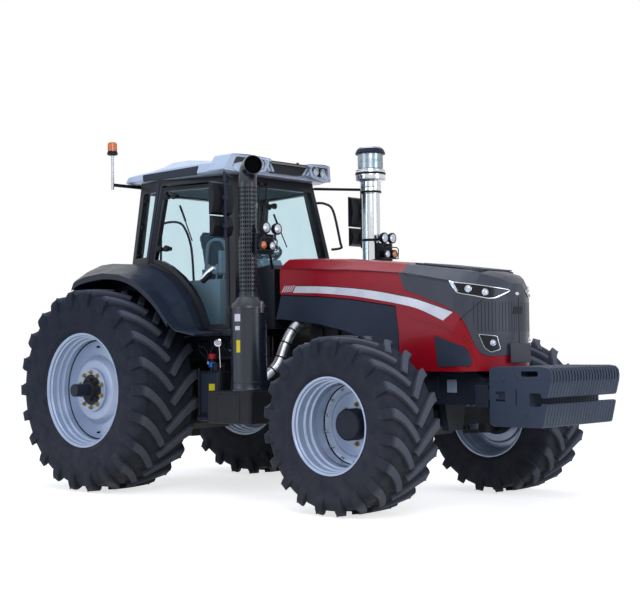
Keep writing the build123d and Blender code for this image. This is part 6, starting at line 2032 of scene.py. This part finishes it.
    @staticmethod
    def frame_fittings() -> None:
        """The bolster's blank plate, the carrier's cheek plates and its bolts."""
        plates = Shape()
        for _, sign in SIDES:
            plates.box(at(3.60, sign * 0.302 - 0.003, 0.985), at(3.70, sign * 0.302 + 0.003, 1.095), slot=1)
            plates.box(at(3.08, sign * 0.31 - 0.012, 0.93), at(3.52, sign * 0.31 + 0.012, 1.13))
            plates.box(at(4.06, sign * 0.52 - 0.022, 0.88), at(4.185, sign * 0.52 + 0.022, 1.06))
            plates.box(at(4.10, sign * 0.45 - 0.06, 0.90), at(4.15, sign * 0.45 + 0.06, 1.04))
        plates.build("frame_plates", "chassis", FRAME_COAT, RIM_ENAMEL, bevel=0.003)
        for side, sign in SIDES:
            bolt = Shape()
            bolt.peg(Vector(), AHEAD, UP, 0.016, ACROSS * (sign * 0.016))
            bolt.repeat(f"frame_bolts_{side}", "chassis", LINK_PAINT, 6, shift=(0.075, 0, 0),
                        centre=at(3.11, sign * 0.322, 1.09), bevel=0.001,
                        rows=(2, (0.0, 0.0, -0.12)))


PARTS = (
    Hood(HoodWall()), FrontWeights(), Roof(), Cab(), Interior(), ExhaustStack(), IntakeStack(), Fittings(),
    Chassis(),
)


# ---- Studio ----------------------------------------------------------------------


@dataclass(frozen=True)
class Camera:
    """The camera: where it stands, where it looks and its lens."""

    spot: Spot = (10.453, -9.469, 1.3955)
    azimuth: float = 41.9357
    elevation: float = -2.2721
    roll: float = -0.6456
    lens: float = 74.73
    sensor: float = 36.0
    shift: Flat = (-0.00945, -0.00295)

    def build(self) -> None:
        """Place the camera and make it the scene's."""
        turn, rise, lean = (math.radians(a) for a in (self.azimuth, self.elevation, self.roll))
        back = Vector((math.sin(turn) * math.cos(rise), -math.cos(turn) * math.cos(rise), math.sin(rise)))
        right = UP.cross(back).normalized()
        up = back.cross(right)
        across = right * math.cos(lean) + up * math.sin(lean)
        upright = up * math.cos(lean) - right * math.sin(lean)
        data = bpy.data.cameras.new("camera")
        data.sensor_width = self.sensor
        data.lens = self.lens
        data.shift_x, data.shift_y = self.shift
        camera = linked(bpy.data.objects.new("camera", data))
        turned = Matrix((across, upright, back)).transposed().to_4x4()
        camera.matrix_world = Matrix.Translation(at(*self.spot)) @ turned
        bpy.context.scene.camera = camera


class Studio:
    """Pale floor, soft lamps and a plain bright surround."""

    FLOOR_REACH = 60.0
    FLOOR_GLOW = 0.7
    # Each lamp's name, place, size, power and colour.
    LAMPS = (
        ("key", (8.5, -6.5, 7.0), 5.5, 430.0, "f1f3ff"),
        ("overhead", (1.0, -0.5, 8.5), 7.0, 270.0, "dde8ff"),
        ("fill", (-2.0, -10.0, 4.0), 5.0, 190.0, "cfdfff"),
        ("front", (13.0, 1.5, 3.5), 4.0, 230.0, "dfe9ff"),
    )

    def build(self) -> None:
        """Build the floor, the lamps and the world."""
        self.floor()
        target = at(1.9, 0.0, 1.3)
        for name, spot, size, power, code in self.LAMPS:
            data = bpy.data.lights.new(name, "AREA")
            data.size = size
            data.energy = power
            data.color = linear(code)[:3]
            lamp = linked(bpy.data.objects.new(name, data))
            lamp.location = at(*spot)
            lamp.rotation_euler = (lamp.location - target).to_track_quat("Z", "Y").to_euler()
        self.surround()
        bpy.context.scene.view_settings.view_transform = "Standard"

    def floor(self) -> None:
        """A wide pale floor that keeps the shadow."""
        signs = ((-1, -1), (1, -1), (1, 1), (-1, 1))
        corners = [at(x * self.FLOOR_REACH, y * self.FLOOR_REACH, 0) for x, y in signs]
        mesh = bpy.data.meshes.new("floor")
        mesh.from_pydata(corners, [], [(0, 1, 2, 3)])
        made = bpy.data.materials.new("studio_floor")
        tree = emptied(made)
        diffuse = source(tree, "ShaderNodeBsdfDiffuse", {"Color": linear("eae5dc")})
        glow = combined(tree, "MULTIPLY", self.seen(tree), self.FLOOR_GLOW)
        light = source(tree, "ShaderNodeEmission", {"Color": linear("ffffff"), "Strength": glow})
        both = source(tree, "ShaderNodeAddShader", {0: diffuse, 1: light})
        add_node(tree, "ShaderNodeOutputMaterial", {"Surface": both})
        mesh.materials.append(made)
        linked(bpy.data.objects.new("floor", mesh))

    @staticmethod
    def seen(tree: bpy.types.NodeTree) -> Socket:
        """1 for a ray that shows the background, straight, mirrored or through glass.

        Args:
            tree: the tree that gets the nodes.

        Returns:
            The output that holds it.
        """
        path = add_node(tree, "ShaderNodeLightPath").outputs
        either = combined(tree, "MAXIMUM", path["Is Camera Ray"], path["Is Glossy Ray"])
        return combined(tree, "MAXIMUM", either, path["Is Transmission Ray"])

    def surround(self) -> None:
        """A world that shows white and lights softly."""
        world = bpy.data.worlds.new("surround")
        tree = emptied(world)
        seen = self.seen(tree)
        light = source(tree, "ShaderNodeBackground", {
            "Color": mixed(tree, seen, linear("d3e0fa"), linear("ffffff")),
            "Strength": ranged(tree, seen, (0.0, 1.0), (0.55, 1.0)),
        })
        add_node(tree, "ShaderNodeOutputWorld", {"Surface": light})
        bpy.context.scene.world = world


# ---- Build -----------------------------------------------------------------------

FINISHES = (
    TREAD_RUBBER, RIM_ENAMEL, CAST_IRON, FRAME_COAT, BALLAST_COAT, HOOD_ENAMEL, NOSE_ABS, MESH_SHEET,
    BLACK_NYLON, STACK_ENAMEL, BARE_TUBE, CHROME, CAB_PAINT, ROOF_GEL, CAB_GLASS, FENDER_ABS, SEAT_CLOTH,
    LAMP_CORE, AMBER_LENS, LINK_PAINT, SHAFT_STEEL,
)


def finish_nodes() -> None:
    """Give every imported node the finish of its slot."""
    by_slot = {finish.slot: finish for finish in FINISHES}
    by_slot["engine_dark"] = CAST_IRON
    for name, node in frame["nodes"].items():
        for place in node.material_slots:
            label = place.material.name.split(".")[0] if place.material else ""
            if label not in by_slot:
                LOG.warning("%s has an unknown finish %s", name, label)
            place.material = by_slot.get(label, CAB_PAINT).material()


def save_sizes() -> None:
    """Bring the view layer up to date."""
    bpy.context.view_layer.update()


def main() -> None:
    """Build the tractor, then the studio."""
    logging.basicConfig(level=logging.INFO, format="%(message)s")
    finish_nodes()
    for wheel in wheels():
        wheel.build()
    for part in PARTS:
        part.build()
    save_sizes()
    Camera().build()
    Studio().build()


if __name__ == "__main__":
    main()
